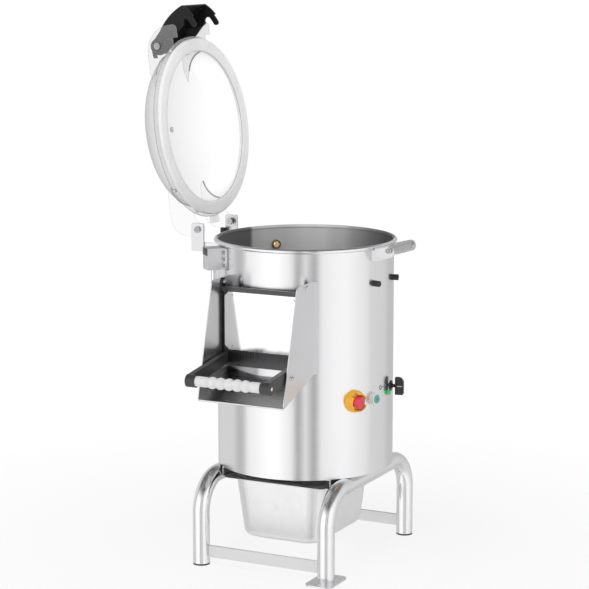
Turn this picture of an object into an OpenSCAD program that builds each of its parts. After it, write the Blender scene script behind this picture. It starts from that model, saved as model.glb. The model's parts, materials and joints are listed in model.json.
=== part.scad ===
// Floor-standing potato peeler: brushed steel drum on a tube stand, clear hinged lid with a latch handle,
// front chute with a lift-up discharge door, peel pan below and a belt-driven peeling disc inside.
// Origin on the floor under the drum's axis, +Z up, front towards -Y, latch side towards +X.

/* [Drum] */
// Outer diameter of the drum
drum_d = 420; // [390:5:460]
// Wall of the drum
drum_wall = 2; // [1.5:0.5:3]
// Height of the drum, bottom edge to rim
drum_h = 542; // [530:1:600]
// Diameter of the rolled rim bead
rim_bead_d = 10.5; // [8:0.5:12]
// Height of the chamber floor above the drum's bottom edge
chamber_up = 228; // [222:1:234]
// Thickness of the chamber floor and of the base plate
plate_t = 4; // [3:0.5:6]

/* [Stand] */
// Height of the drum's bottom edge above the floor
stand_h = 224; // [215:1:260]
// Outer diameter of the stand's tube
tube_d = 40; // [34:1:44]
// Wall of the stand's tube
tube_wall = 2; // [1.5:0.5:3]
// Distance between the left and right legs
leg_span_x = 328; // [320:2:350]
// Distance between the front and rear legs
leg_span_y = 448; // [430:2:480]
// Centreline radius of the tube bends
bend_r = 80; // [60:1:90]
// Thickness of the foot caps and of the floor plates
foot_t = 4; // [3:0.5:6]
// Height of the flat cross bars
crossbar_h = 28; // [20:1:32]
// Thickness of the flat cross bars
crossbar_t = 5; // [4:0.5:8]
// Height of the cross bars above the floor
crossbar_up = 20; // [10:1:22]
// Width of a floor plate
anchor_w = 66; // [60:1:80]
// Length of a floor plate
anchor_l = 100; // [90:1:120]
// Diameter of the bolt holes in the floor plates
anchor_hole_d = 11; // [9:0.5:13]
// Distance of a bolt hole from the leg's centre
anchor_hole_out = 36; // [32:1:40]

/* [Pan] */
// Gap between the pan's flange and the legs, each side
pan_side_gap = 11.5; // [8:0.5:30]
// Length of the peel pan over its flange
pan_l = 325; // [300:1:340]
// Depth of the peel pan
pan_depth = 150; // [120:1:152]
// Sheet thickness of the pan
pan_t = 1.2; // [0.8:0.1:2]
// Width of the pan's flange
pan_lip = 14; // [10:1:18]
// Draw-in of the pan's walls from top to bottom, each side
pan_taper = 15; // [5:1:25]
// Corner radius of the pan under its flange
pan_corner_r = 42; // [30:1:50]
// Fillet at the pan's bottom edge
pan_fillet = 20; // [10:1:30]
// Height of the flange's top face below the drum
pan_drop = 20; // [14:1:30]
// Front edge of the pan, measured from the drum's axis
pan_front = 175; // [165:1:185]

/* [Chute and door] */
// Width of the chute over its side plates
chute_w = 220; // [200:2:230]
// Sheet thickness of the chute and the door
sheet_t = 2; // [1.5:0.5:3]
// Height of the chute's top edge above the drum's bottom edge
chute_top_up = 468; // [462:1:480]
// Reach of the chute's top edge from the drum's axis
chute_top_reach = 264; // [250:1:275]
// Reach of the chute's lip from the drum's axis
chute_lip_reach = 335; // [320:1:345]
// Height of the chute's lip above the drum's bottom edge
chute_lip_up = 198; // [180:1:205]
// Height at which the chute's bottom edge meets the drum
chute_heel_up = 252; // [246:1:256]
// Height of the door's hinge line above the drum's bottom edge
door_pivot_up = 458; // [455:1:460]
// Distance of the door's back from the drum's front
door_stand_off = 6.5; // [6:0.5:10]
// Height of the door's lower edge above the drum's bottom edge
door_low_up = 262; // [260:1:266]
// Diameter of the door's hinge screws
door_pin_d = 6; // [5:0.5:8]
// Diameter of the white grip
grip_d = 28; // [24:1:32]
// Length of the white grip
grip_l = 166; // [150:1:168]
// Reach of the grip from the drum's axis
grip_reach = 385; // [370:1:400]
// Height of the grip above the drum's bottom edge
grip_up = 257; // [250:1:262]
// Thickness of the door's black arms
arm_t = 13; // [10:1:14]
// Height of the arms where they meet the door
arm_h = 25; // [20:1:27]
// Height of the arms at the door above the drum's bottom edge
arm_up = 281; // [278:1:284]

/* [Lid] */
// Distance of the lid's hinge line outside the lid's flange
hinge_beyond = 23; // [20:1:28]
// Distance by which the hinge line lies further from the drum's axis than from the lid's centre
hinge_offset = 5; // [0:1:10]
// Height of the hinge line above the lid's seal face
hinge_rise = 11.7; // [8:0.1:14]
// Angle of the open lid from its closed place
lid_open = 97.7; // [92:0.1:105]
// Overhang of the lid's flange beyond the drum
lid_over = 7; // [4:1:10]
// Width of the seal ring round the lid's window
seal_w = 31; // [22:1:40]
// Height of the seal ring
seal_h = 9; // [6:1:12]
// Height of the lid's flange above its seal
flange_h = 9; // [6:1:12]
// Width of the lid's flange round the dome
flange_w = 19; // [14:1:24]
// Height of the dome's straight wall above the seal face
dome_wall_up = 24; // [22:1:30]
// Rise of the dome's crown above its straight wall
dome_rise = 74; // [66:1:80]
// Shoulder radius of the dome
dome_shoulder_r = 52; // [44:1:56]
// Wall of the dome
dome_t = 4; // [3:0.5:5]
// Distance between the inner faces of the clear lugs
lug_gap = 155; // [145:1:165]
// Thickness of the clear lugs
lug_t = 4; // [3:0.5:6]
// Height of the lugs above the seal face
lug_up = 84; // [80:1:90]
// Diameter of the lid's hinge pins
hinge_pin_d = 10; // [8:0.5:12]

/* [Lid latch] */
// Distance of the latch pivot inside the lid's flange
latch_inset = 14; // [11:1:17]
// Height of the latch pivot above the seal face
latch_up = 60.7; // [58:0.1:64]
// Diameter of the latch pivot pins
latch_pin_d = 8; // [6:0.5:10]
// Outer radius of the handle's curved back
latch_back_r = 142; // [138:1:150]
// Wall of the handle
latch_wall = 5; // [4:0.5:7]
// Width of the handle at its grip end
latch_tip_w = 115; // [90:1:124]
// Thickness of the hooks
hook_t = 12; // [10:1:14]
// Diameter of the latch bar
bar_d = 15; // [12:1:16]
// Distance of the latch bar beyond the latch pivot, from the drum's axis
bar_beyond = 42; // [38:1:46]
// Drop of the latch bar below the drum's rim
bar_drop = 9; // [8:1:12]
// Length of the latch bar
bar_l = 138; // [130:1:140]

/* [Controls] */
// Height of the controls above the drum's bottom edge
control_up = 182; // [130:1:195]
// Diameter of the emergency stop's yellow collar
estop_d = 53; // [46:1:60]
// Diameter of the red emergency stop head
estop_head_d = 33; // [28:1:36]
// Diameter of the start button's bezel
start_d = 30; // [28:1:34]
// Diameter of the start button's cap
start_cap_d = 20; // [16:1:22]
// Diameter of the indicator lamp's lens
lamp_d = 11; // [10:1:16]
// Diameter of the timer's dial boss
dial_d = 29; // [26:1:34]
// Height of the timer knob's grip
knob_h = 42; // [36:1:46]
// Stroke of the emergency stop
estop_stroke = 4; // [3:0.5:5]
// Stroke of the start button
start_stroke = 3; // [2:0.5:4]

/* [Drive] */
// Gap between the peeling disc and the drum's wall
disc_side = 8; // [7:0.5:18]
// Thickness of the peeling disc
disc_t = 9; // [7:1:12]
// Height of the disc's waves
wave_h = 15; // [8:1:20]
// Diameter of the drive shaft
shaft_d = 25; // [20:1:28]
// Pitch diameter of the large pulley
pulley_d = 150; // [130:2:160]
// Pitch diameter of the motor pulley
pinion_d = 50; // [40:2:60]
// Diameter of the motor's body
motor_d = 128; // [110:2:130]
// Distance of the motor's shaft from the drum's axis
motor_out = 124; // [120:1:126]

/* [Hidden] */
$fn = 64;

// Clearances
seat_gap = 0.2;
run_gap = 0.06;
slide_gap = 0.3;
free_gap = 1.5;
cut = 1;
skin = 0.01;
span = 900;

// Drum
drum_r = drum_d / 2;
drum_in_r = drum_r - drum_wall;
rim_z = stand_h + drum_h;
bead_r = rim_bead_d / 2;
bead_centre_r = drum_in_r + bead_r - drum_wall / 2;
chamber_z = stand_h + chamber_up;
chamber_top = chamber_z + plate_t;
drain_at = [85, 90];
drain_d = 60;
drain_wall = 2;
drain_end = 8;
drain_low = pan_drop - drain_end;

// Stand
tube_r = tube_d / 2;
leg_x = leg_span_x / 2;
leg_y = leg_span_y / 2;
rail_z = stand_h - tube_r;
cap_plug_h = 18;
anchor_corner_r = 14;
bolt_d = 8;
bolt_head_af = 13;
bolt_head_h = 5.5;
base_bolt_y = 80;

// Pan and its rails
pan_w = leg_span_x - tube_d - 2 * pan_side_gap;
pan_top = stand_h - pan_drop;
pan_mid_y = pan_l / 2 - pan_front;
pan_bottom = pan_top - pan_depth;
rail_t = 2;
rail_lip = 16;
rail_short = 20;
rail_l = pan_l - rail_short;
rail_back = 8;
rail_out = leg_x - tube_r - free_gap;

// Chute and door
chute_top = stand_h + chute_top_up;
chute_lip = stand_h + chute_lip_up;
chute_heel = stand_h + chute_heel_up;
chute_heel_y = sqrt(pow(drum_r, 2) - pow(chute_w / 2, 2));
chute_corner_r = 12;
chute_slope = atan2(chute_heel - chute_lip, chute_lip_reach - chute_heel_y);
chute_hem_r = 2.5;
chute_tab = 9;
door_pivot_out = 5;
door_pivot = [-(drum_r + door_pivot_out), stand_h + door_pivot_up];
door_back = drum_r + door_stand_off;
door_front = door_back + sheet_t;
door_low = stand_h + door_low_up;
door_head = 10;
door_top = door_pivot[1] - door_head;
door_side_gap = 0.5;
door_half = chute_w / 2 - sheet_t - door_side_gap;
door_flange = 6;
ear_r = 9;
gasket_t = 3;
gasket_w = 9;
collar_side = 14;
collar_half = chute_w / 2 - collar_side;
collar_foot = 6;
collar_low = door_low + collar_foot;
collar_head = 8;
collar_top = door_top - collar_head;
collar_front = door_back - gasket_t - slide_gap;
face_t = 1.5;
face_foot = 38;
face_low = door_low + face_foot;
face_head = 11;
face_top = door_top - face_head;
face_side = 10;
face_half = chute_w / 2 - face_side;
face_clip = 11;
face_screw_d = 5.5;
face_screw_in = 9;
boss_l = 23;
boss_rim = 0.8;
boss_r = grip_d / 2 + boss_rim;
grip_z = stand_h + grip_up;
grip_bulges = 5;
grip_pitch = 21;
grip_waist = 4;
rod_d = 8;
arm_in = 1;
arm_out = grip_l / 2 + boss_l - arm_in;
catch_d = 7;
catch_inset = 46;
catch_below = 18;
catch_at = [-(chute_lip_reach - catch_inset), stand_h + arm_up - catch_below];
catch_flange = 3;
catch_ratio = 1.5;

// Lid
lid_plane = rim_z + slide_gap;
lid_d = drum_d + 2 * lid_over;
lid_reach = lid_d / 2 + hinge_beyond;
hinge_out = lid_reach + hinge_offset;
dome_d = lid_d - 2 * flange_w;
hinge_x = -hinge_out;
hinge_z = lid_plane + hinge_rise;
dome_r = dome_d / 2;
crown_r = (pow(dome_r, 2) - 2 * dome_r * dome_shoulder_r + pow(dome_rise, 2))
    / (2 * (dome_rise - dome_shoulder_r));
lug_in = lug_gap / 2;
lug_mid = lug_in + lug_t / 2;
lug_nose_r = 16;
lug_brow_r = 46;
lug_brow_in = 31;
lug_brow_out = lid_reach - lug_brow_in;
hinge_plate_t = 4;
hinge_plate_in = lug_in + lug_t + free_gap;
hinge_plate_half = 16.5;
hinge_plate_over = 15;
hinge_plate_top = hinge_z + hinge_plate_over;
hinge_plate_r = 4;
hinge_plate_under = 52;
hinge_plate_low = hinge_z - hinge_plate_under;
bracket_t = 3;
bracket_h = 22;
pin_head_d = 16;
pin_head_h = 4;
stop_block = [14, 12, 18];

// Latch: handle coordinates have the pivot as origin and the closed lid's directions
latch_out = lid_d / 2 - latch_inset;
bar_out = latch_out + bar_beyond;
bar_r = bar_d / 2;
bar_z = rim_z - bar_drop;
bar_at = [bar_out + hinge_out - lid_reach - latch_out, bar_z - lid_plane - latch_up];
bar_arm = norm(bar_at);
bar_angle = atan2(bar_at[0], -bar_at[1]);
hook_gap = 1.6;
hook_in_r = bar_arm + bar_r + hook_gap;
hook_out_r = hook_in_r + hook_t;
hook_wrap = 10;
hook_tip_angle = bar_angle - hook_wrap;
latch_brim = 4.5;
latch_end_r = hook_out_r + latch_brim;
latch_back_at = [-45, -115];
latch_knee = 65.8;
latch_knee_dir = [cos(latch_knee), sin(latch_knee)];
latch_heel_r = 60;
latch_heel_at = latch_back_at + (latch_back_r - latch_heel_r) * latch_knee_dir;
latch_heel = 28;
latch_web = 8;
latch_boss_r = 22;
latch_half = lug_in - free_gap;
latch_cheek = 6;
latch_taper_end = (hook_in_r + hook_t / 2) * sin(hook_tip_angle) - hook_t / 2;
bracket_plate_t = 4;
bracket_plate_y = latch_tip_w / 2 + free_gap + bracket_plate_t / 2;
bracket_plate_h = 28;

// Controls
estop_angle = -31;
estop_z = stand_h + control_up;
start_angle = -15;
start_drop = 2;
start_z = stand_h + control_up - start_drop;
lamp_angle = 3;
lamp_z = stand_h + control_up;
timer_angle = 11;
timer_rise = 11;
timer_z = stand_h + control_up + timer_rise;
control_bore = 22.5;
stem_d = 16;
lamp_bore = 8;
timer_bore = 11;
timer_stem_d = 9;
collar_base_h = 9;
guard_h = 8;
guard_t = 5;
guard_in = estop_d / 2 - guard_t;
head_up = collar_base_h + estop_stroke + cut;
head_h = 11;
bezel_h = 12;
cap_low = start_stroke + slide_gap;
dial_h = 3;
knob_up = 11;
knob_neck_d = 20;
knob_t = 20;
knob_round = 13;
knob_edge = 3;
block_l = 48;
block_w = 34;

// Bumpers, switch, water and cable
bumper_d = 14;
bumper_l = 14;
bumper_angle = 14;
bumper_drop = 90;
bumper_z = rim_z - bumper_drop;
switch_angle = 226.5;
switch_drop = 2;
switch_top = rim_z - rim_bead_d - switch_drop;
switch_h = 52;
switch_w = 50;
switch_l = 37;
conduit_d = 14;
conduit_wall = 1.5;
conduit_off = 19;
conduit_out = drum_r + conduit_off;
conduit_drop = 23;
conduit_low = chamber_z - conduit_drop;
inlet_angle = 137;
inlet_drop = 47;
inlet_z = rim_z - inlet_drop;
inlet_d = 26.4;
inlet_pipe_d = 22;
inlet_in = 6;
pipe_wall = 3.5;
inlet_l = 24;
gland_angle = 100;
gland_rise = 45;
gland_z = stand_h + gland_rise;
gland_d = 20;

// Drive
disc_gap = 9;
disc_z = chamber_top + disc_gap;
disc_d = drum_d - 2 * (drum_wall + disc_side);
disc_top = disc_z + disc_t;
waves = 3;
hub_r = 34;
housing_r = 37;
housing_l = 78;
housing_flange_r = 58;
bearing_d = 52;
bearing_h = 15;
seal_ring_h = 7;
belt_rise = 36;
belt_z = stand_h + belt_rise;
belt_w = 13;
belt_h = 8;
pulley_h = 20;
motor_dir = 130;
motor_at = motor_out * [cos(motor_dir), sin(motor_dir)];
motor_drop = 14;
motor_top = chamber_z - motor_drop;
motor_h = 128;
motor_shaft_d = 19;
hanger_t = 5;
hanger_post_d = 14;
hanger_posts = 4;
motor_shaft_in = 38;

// Small sizes of the drive
housing_flange_h = 6;
bearing_step = 4;
hub_up = 12;
shoulder = 5;
belt_flank = 18;
belt_gap = 0.3;
rim_t = 8;
web_t = 6;
hub_wall = 10;
fin_h = 5;
fins = 24;
fin_t = 2.5;
end_shield = 12;
hanger_edge = 8;
wave_w = 74;
wave_in = 4;

// Small sizes of the fittings
inlet_nut_h = 8;
inlet_nut_d = 40;
gland_in = 14;
gland_nut_h = 8;
gland_nut_d = 29;
gland_dome_h = 12;
gland_bore = 9;
chute_deep = 30;
chute_lip_r = 6;
ear_x = door_half - sheet_t;
nut_h = 5;
nut_ratio = 1.7;
screw_head_h = 2.5;
catch_out = 6;
face_screw_h = 2;
rod_out = 0.8;
switch_corner = 4;
switch_tab = 14;
conduit_in = 6;
seal_in = 5;
window_d = lid_d - 2 * (seal_in + seal_w);
lid_bolt_off = 6.193;
lid_bolt_ring = (lid_d / 2 + dome_r) / 2;
lid_bolt_first = asin((lug_in + lug_t + lid_bolt_off) / lid_bolt_ring);
lid_bolt_angles = [lid_bolt_first, 132, 162];
lid_bolt_h = 5;
lid_bolt_d = 9;
lug_drop = 9;
lug_chamfer = -120;
lug_steps = 16;
latch_taper_from = 8;
guard_slot = 16;
stem_in = 30;
head_edge = 3;
cap_in = 25;
lamp_in = 10;
lamp_h = 4;
timer_in = 20;
knob_wing = 12;
block_back = 6;
lamp_block = 16;

function sag(r) = drum_in_r - sqrt(pow(drum_in_r, 2) - pow(r, 2));
function unit(v) = v / norm(v);
// Points of a corner b, between a and c, rounded to radius r
function rounded(a, b, c, r, steps = 6) =
    let (u = unit(a - b), v = unit(c - b), half = acos(u * v) / 2, m = unit(u + v))
    let (o = b + m * r / sin(half), p = b + u * r / tan(half) - o, q = b + v * r / tan(half) - o)
    let (a0 = atan2(p[1], p[0]), a1 = atan2(q[1], q[0]), turn = (a1 - a0 + 900) % 360 - 180)
    [for (i = [0 : steps]) o + r * [cos(a0 + turn * i / steps), sin(a0 + turn * i / steps)]];

module rounded_rect(w, l, r) {
    square([w - 2 * r, l], center = true);
    square([w, l - 2 * r], center = true);
    for (x = [-1, 1], y = [-1, 1])
        translate([x * (w / 2 - r), y * (l / 2 - r)]) circle(r);
}

// Two circles and the straight flanks that touch both
module capsule(a, ra, b, rb) {
    d = b - a;
    lean = acos((ra - rb) / norm(d));
    way = atan2(d[1], d[0]);
    up = [cos(way + lean), sin(way + lean)];
    down = [cos(way - lean), sin(way - lean)];
    translate(a) circle(ra);
    translate(b) circle(rb);
    polygon([a + ra * up, b + rb * up, b + rb * down, a + ra * down]);
}

module ring(r_out, r_in, h) {
    difference() {
        cylinder(h = h, r = r_out);
        translate([0, 0, -cut]) cylinder(h = h + 2 * cut, r = r_in);
    }
}

// Outline in x and z, thickened along y
module along_y(t) {
    rotate([90, 0, 0]) linear_extrude(t, center = true) children();
}

// Outline in y and z, thickened along x
module along_x(t) {
    rotate([90, 0, 90]) linear_extrude(t, center = true) children();
}

module both_x() {
    children();
    mirror([1, 0, 0]) children();
}

module both_y() {
    children();
    mirror([0, 1, 0]) children();
}

// A place on the drum's wall, with +Z pointing outwards
module on_drum(angle, z, up = 0) {
    rotate([0, 0, angle]) translate([drum_r + up, 0, z]) rotate([0, 90, 0]) children();
}

module wall_hole(angle, z, d) {
    on_drum(angle, z) cylinder(h = 6 * drum_wall, d = d, center = true);
}

module drum_solid(grow = 0) {
    translate([0, 0, stand_h - span / 2]) cylinder(h = drum_h + span, r = drum_r + grow, $fn = 360);
}

// Stand
module leg_hoop(side) {
    straight = 2 * (leg_y - bend_r);
    low = rail_z - bend_r;
    translate([side * leg_x, 0, 0]) difference() {
        union() {
            translate([0, -straight / 2, rail_z]) rotate([-90, 0, 0])
                ring(tube_r, tube_r - tube_wall, straight);
            both_y() {
                translate([0, leg_y, foot_t]) ring(tube_r, tube_r - tube_wall, low - foot_t);
                translate([0, leg_y - bend_r, low]) rotate([90, 0, 90]) rotate_extrude(angle = 90)
                    translate([bend_r, 0]) difference() {
                        circle(tube_r);
                        circle(tube_r - tube_wall);
                    }
            }
        }
        both_y() translate([0, base_bolt_y, stand_h - tube_r])
            cylinder(h = tube_r, d = bolt_d + 2 * seat_gap);
    }
}

module left_leg_hoop() { color("silver") leg_hoop(-1); }
module right_leg_hoop() { color("silver") leg_hoop(1); }

module crossbars() {
    color("gainsboro") both_y() difference() {
        translate([-leg_x, leg_y - crossbar_t / 2, crossbar_up])
            cube([2 * leg_x, crossbar_t, crossbar_h]);
        both_x() translate([leg_x, leg_y, 0]) cylinder(h = stand_h, r = tube_r);
    }
}

// Plastic caps under the front left and rear right legs
module leg_end_caps() {
    color("dimgray") for (s = [-1, 1]) translate([s * leg_x, s * leg_y, 0]) {
        cylinder(h = foot_t, r = tube_r);
        cylinder(h = foot_t + cap_plug_h, r = tube_r - tube_wall - seat_gap);
    }
}

// Floor plates under the front right and rear left legs
module floor_plates() {
    color("silver") for (s = [-1, 1]) translate([s * leg_x, -s * leg_y, 0]) difference() {
        linear_extrude(foot_t) rounded_rect(anchor_w, anchor_l, anchor_corner_r);
        both_y() translate([0, anchor_hole_out, -cut])
            cylinder(h = foot_t + 2 * cut, d = anchor_hole_d);
    }
}

module base_plate() {
    color("silver") difference() {
        translate([0, 0, stand_h]) cylinder(h = plate_t, r = drum_in_r - seat_gap, $fn = 128);
        translate([drain_at[0], drain_at[1], stand_h - cut])
            cylinder(h = plate_t + 2 * cut, d = drain_d + 2 * slide_gap);
        both_x() both_y() translate([leg_x, base_bolt_y, stand_h - cut])
            cylinder(h = plate_t + 2 * cut, d = bolt_d + 2 * seat_gap);
    }
}

module base_bolts() {
    color("silver") both_x() both_y() translate([leg_x, base_bolt_y, stand_h + plate_t]) {
        cylinder(h = bolt_head_h, d = bolt_head_af, $fn = 6);
        translate([0, 0, -plate_t - tube_wall]) cylinder(h = plate_t + tube_wall + cut, d = bolt_d);
    }
}

// Rails of C section under the base plate, which the pan's flange slides on
module pan_rails() {
    low = pan_top - pan_t - slide_gap - rail_t;
    color("gainsboro") both_x() translate([rail_out - rail_lip, pan_mid_y + rail_back - rail_l / 2, 0])
        difference() {
            translate([0, 0, low]) cube([rail_lip, rail_l, stand_h - low]);
            translate([-rail_t, -cut, low + rail_t])
                cube([rail_lip, rail_l + 2 * cut, stand_h - low - 2 * rail_t]);
        }
}

// One wall of the pan: a stack of rounded outlines that draws in towards the bottom
module pan_body(inset, low) {
    w = pan_w - 2 * pan_lip - 2 * inset;
    l = pan_l - 2 * pan_lip - 2 * inset;
    steps = 5;
    hull() {
        translate([0, 0, pan_top]) linear_extrude(skin)
            rounded_rect(w, l, pan_corner_r - inset, $fn = 32);
        for (i = [0 : steps]) {
            a = 90 * i / steps;
            in = pan_taper + pan_fillet * (1 - cos(a));
            translate([0, 0, low + pan_fillet * (1 - sin(a))]) linear_extrude(skin)
                rounded_rect(w - 2 * in, l - 2 * in, pan_corner_r - inset - pan_taper / 2, $fn = 32);
        }
    }
}

module peel_pan() {
    color("gainsboro") translate([0, pan_mid_y, 0]) difference() {
        union() {
            pan_body(0, pan_bottom);
            translate([0, 0, pan_top - pan_t]) linear_extrude(pan_t)
                rounded_rect(pan_w, pan_l, pan_lip);
        }
        translate([0, 0, cut]) pan_body(pan_t, pan_bottom + pan_t - cut);
    }
}

// Drum
module drum_shell() {
    color("silver") difference() {
        rotate_extrude($fn = 128) {
            translate([drum_in_r, stand_h]) square([drum_wall, drum_h - bead_r]);
            translate([bead_centre_r, rim_z - bead_r]) circle(bead_r);
        }
        translate([-collar_half + sheet_t, -drum_r - cut, collar_low + sheet_t])
            cube([2 * (collar_half - sheet_t), drum_r, collar_top - collar_low - 2 * sheet_t]);
        wall_hole(estop_angle, estop_z, control_bore);
        wall_hole(start_angle, start_z, control_bore);
        wall_hole(lamp_angle, lamp_z, lamp_bore);
        wall_hole(timer_angle, timer_z, timer_bore);
        wall_hole(inlet_angle, inlet_z, inlet_pipe_d + 2 * seat_gap);
        wall_hole(gland_angle, gland_z, gland_d + 2 * seat_gap);
        wall_hole(switch_angle, conduit_low, conduit_d + 2 * seat_gap);
    }
}

// Floor of the peeling chamber, with the drain that leads down to the pan
module chamber_floor() {
    color("silver") {
        difference() {
            translate([0, 0, chamber_z]) cylinder(h = plate_t, r = drum_in_r - seat_gap, $fn = 128);
            translate([0, 0, chamber_z - cut])
                cylinder(h = plate_t + 2 * cut, r = bearing_d / 2 + seat_gap);
            translate([drain_at[0], drain_at[1], chamber_z - cut])
                cylinder(h = plate_t + 2 * cut, d = drain_d - 2 * drain_wall);
        }
        translate([drain_at[0], drain_at[1], stand_h - drain_low])
            ring(drain_d / 2, drain_d / 2 - drain_wall, chamber_z - stand_h + drain_low);
    }
}

// Drive
module bearing_housing() {
    color("dimgray") translate([0, 0, chamber_z]) difference() {
        union() {
            translate([0, 0, -housing_l]) cylinder(h = housing_l, r = housing_r);
            translate([0, 0, -housing_flange_h]) cylinder(h = housing_flange_h, r = housing_flange_r);
        }
        translate([0, 0, -housing_l - cut])
            cylinder(h = housing_l + 2 * cut, r = bearing_d / 2 - bearing_step);
        for (z = [-bearing_h, -housing_l - cut])
            translate([0, 0, z]) cylinder(h = bearing_h + cut, r = bearing_d / 2);
    }
}

// Two ball bearings, each with a groove between its races on both faces
module shaft_bearings() {
    inner = shaft_d / 2 + run_gap;
    outer = bearing_d / 2 - run_gap;
    color("silver") for (z = [-bearing_h, -housing_l]) translate([0, 0, chamber_z + z])
        rotate_extrude() difference() {
        translate([inner, 0]) square([outer - inner, bearing_h]);
        for (y = [0, bearing_h]) translate([(inner + outer) / 2, y]) circle((outer - inner) / 4);
    }
}

module shaft_seal() {
    color("black") translate([0, 0, chamber_z]) ring(bearing_d / 2, shaft_d / 2 + run_gap, seal_ring_h);
}

// The shaft has a shoulder that carries the disc
module drive_shaft() {
    low = belt_z - pulley_h / 2 - cut;
    color("silver") {
        translate([0, 0, low]) cylinder(h = disc_top + hub_up - low, r = shaft_d / 2);
        translate([0, 0, chamber_z + seal_ring_h + slide_gap])
            cylinder(h = disc_z - chamber_z - seal_ring_h - slide_gap, r = shaft_d / 2 + shoulder);
    }
}

// Section of the belt about its pitch line: narrow side inwards
module belt_section(grow = 0) {
    inner = belt_w / 2 - belt_h / 2 * tan(belt_flank);
    outer = belt_w / 2 + belt_h / 2 * tan(belt_flank);
    x = belt_h / 2 + grow;
    polygon([[-x, -inner - grow], [x, -outer - grow], [x, outer + grow], [-x, inner + grow]]);
}

// A grooved pulley about the z axis, at the belt's height
module pulley(pitch_r, bore_r) {
    difference() {
        translate([0, 0, belt_z - pulley_h / 2]) cylinder(h = pulley_h, r = pitch_r + belt_h / 2);
        translate([0, 0, belt_z]) rotate_extrude() translate([pitch_r, 0]) belt_section(belt_gap);
        translate([0, 0, belt_z - pulley_h]) cylinder(h = 2 * pulley_h, r = bore_r);
    }
}

module shaft_pulley() {
    web_r = pulley_d / 2 - belt_h - rim_t;
    color("gray") difference() {
        pulley(pulley_d / 2, shaft_d / 2);
        for (z = [-1, 1]) translate([0, 0, belt_z + z * pulley_h / 2])
            difference() {
                cylinder(h = pulley_h - web_t, r = web_r, center = true);
                cylinder(h = pulley_h, r = shaft_d / 2 + hub_wall, center = true);
            }
    }
}

module motor_pulley() {
    color("gray") translate([motor_at[0], motor_at[1], 0]) pulley(pinion_d / 2, motor_shaft_d / 2);
}

// The belt wraps both pulleys and runs straight between them
module drive_belt() {
    big = pulley_d / 2;
    small = pinion_d / 2;
    lean = acos((big - small) / motor_out);
    run = sqrt(pow(motor_out, 2) - pow(big - small, 2));
    color("black") translate([0, 0, belt_z]) rotate([0, 0, motor_dir]) {
        rotate([0, 0, lean]) rotate_extrude(angle = 360 - 2 * lean) translate([big, 0]) belt_section();
        translate([motor_out, 0, 0]) rotate([0, 0, -lean])
            rotate_extrude(angle = 2 * lean) translate([small, 0]) belt_section();
        rotate([0, 0, lean]) translate([big, 0, 0]) rotate([90, 0, 0])
            linear_extrude(run) belt_section();
        rotate([0, 0, -lean]) translate([big, run, 0]) rotate([90, 0, 0])
            linear_extrude(run) belt_section();
    }
}

module motor_body() {
    low = motor_top - motor_h;
    color("dimgray") translate([motor_at[0], motor_at[1], 0]) difference() {
        union() {
            translate([0, 0, low]) cylinder(h = motor_h, r = motor_d / 2 - fin_h);
            translate([0, 0, low]) cylinder(h = end_shield, r = motor_d / 2);
            translate([0, 0, motor_top - end_shield]) cylinder(h = end_shield, r = motor_d / 2);
            for (i = [0 : fins - 1]) rotate([0, 0, i * 360 / fins])
                translate([motor_d / 2 - 2 * fin_h, -fin_t / 2, low])
                    cube([2 * fin_h - cut / 2, fin_t, motor_h]);
        }
        translate([0, 0, low - cut]) cylinder(h = motor_h / 2, r = motor_shaft_d / 2 + run_gap);
    }
}

module motor_hanger() {
    color("silver") translate([motor_at[0], motor_at[1], motor_top]) {
        cylinder(h = hanger_t, r = motor_d / 2 + hanger_edge);
        for (i = [1 : hanger_posts]) rotate([0, 0, motor_dir + (i - 0.5) * 360 / hanger_posts])
            translate([motor_d / 2, 0, 0])
            cylinder(h = chamber_z - motor_top, d = hanger_post_d);
    }
}

module motor_shaft() {
    low = belt_z - pulley_h / 2 - cut;
    color("silver") translate([motor_at[0], motor_at[1], low])
        cylinder(h = motor_top - motor_h + motor_shaft_in - low, r = motor_shaft_d / 2);
}

// A disc with round radial waves that turn the potatoes over
module peeling_disc() {
    arc_r = (pow(wave_w / 2, 2) + pow(wave_h, 2)) / (2 * wave_h);
    color("darkgray") difference() {
        union() {
            translate([0, 0, disc_z]) cylinder(h = disc_t, r = disc_d / 2, $fn = 128);
            translate([0, 0, disc_z]) cylinder(h = disc_t + hub_up, r = hub_r);
            for (i = [0 : waves - 1]) rotate([0, 0, i * 360 / waves]) intersection() {
                translate([0, 0, disc_top - cut])
                    cylinder(h = wave_h + 2 * cut, r = disc_d / 2 - wave_in, $fn = 128);
                translate([0, 0, disc_top + wave_h - arc_r]) rotate([0, 90, 0])
                    cylinder(h = disc_d, r = arc_r);
            }
        }
        translate([0, 0, disc_z - cut]) cylinder(h = disc_t + hub_up + wave_h, r = shaft_d / 2);
    }
}

// Water and cable fittings in the drum's wall
module water_inlet() {
    color("goldenrod") difference() {
        on_drum(inlet_angle, inlet_z) {
            translate([0, 0, -sag(inlet_nut_d / 2)])
                cylinder(h = inlet_nut_h + sag(inlet_nut_d / 2), d = inlet_nut_d, $fn = 6);
            cylinder(h = inlet_l, d = inlet_d);
        }
        drum_solid();
        on_drum(inlet_angle, inlet_z)
            cylinder(h = span, d = inlet_pipe_d - 2 * pipe_wall, center = true);
    }
    color("goldenrod") on_drum(inlet_angle, inlet_z, -drum_wall - inlet_in)
        ring(inlet_pipe_d / 2, inlet_pipe_d / 2 - pipe_wall, drum_wall + inlet_in + inlet_nut_h);
}

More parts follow.
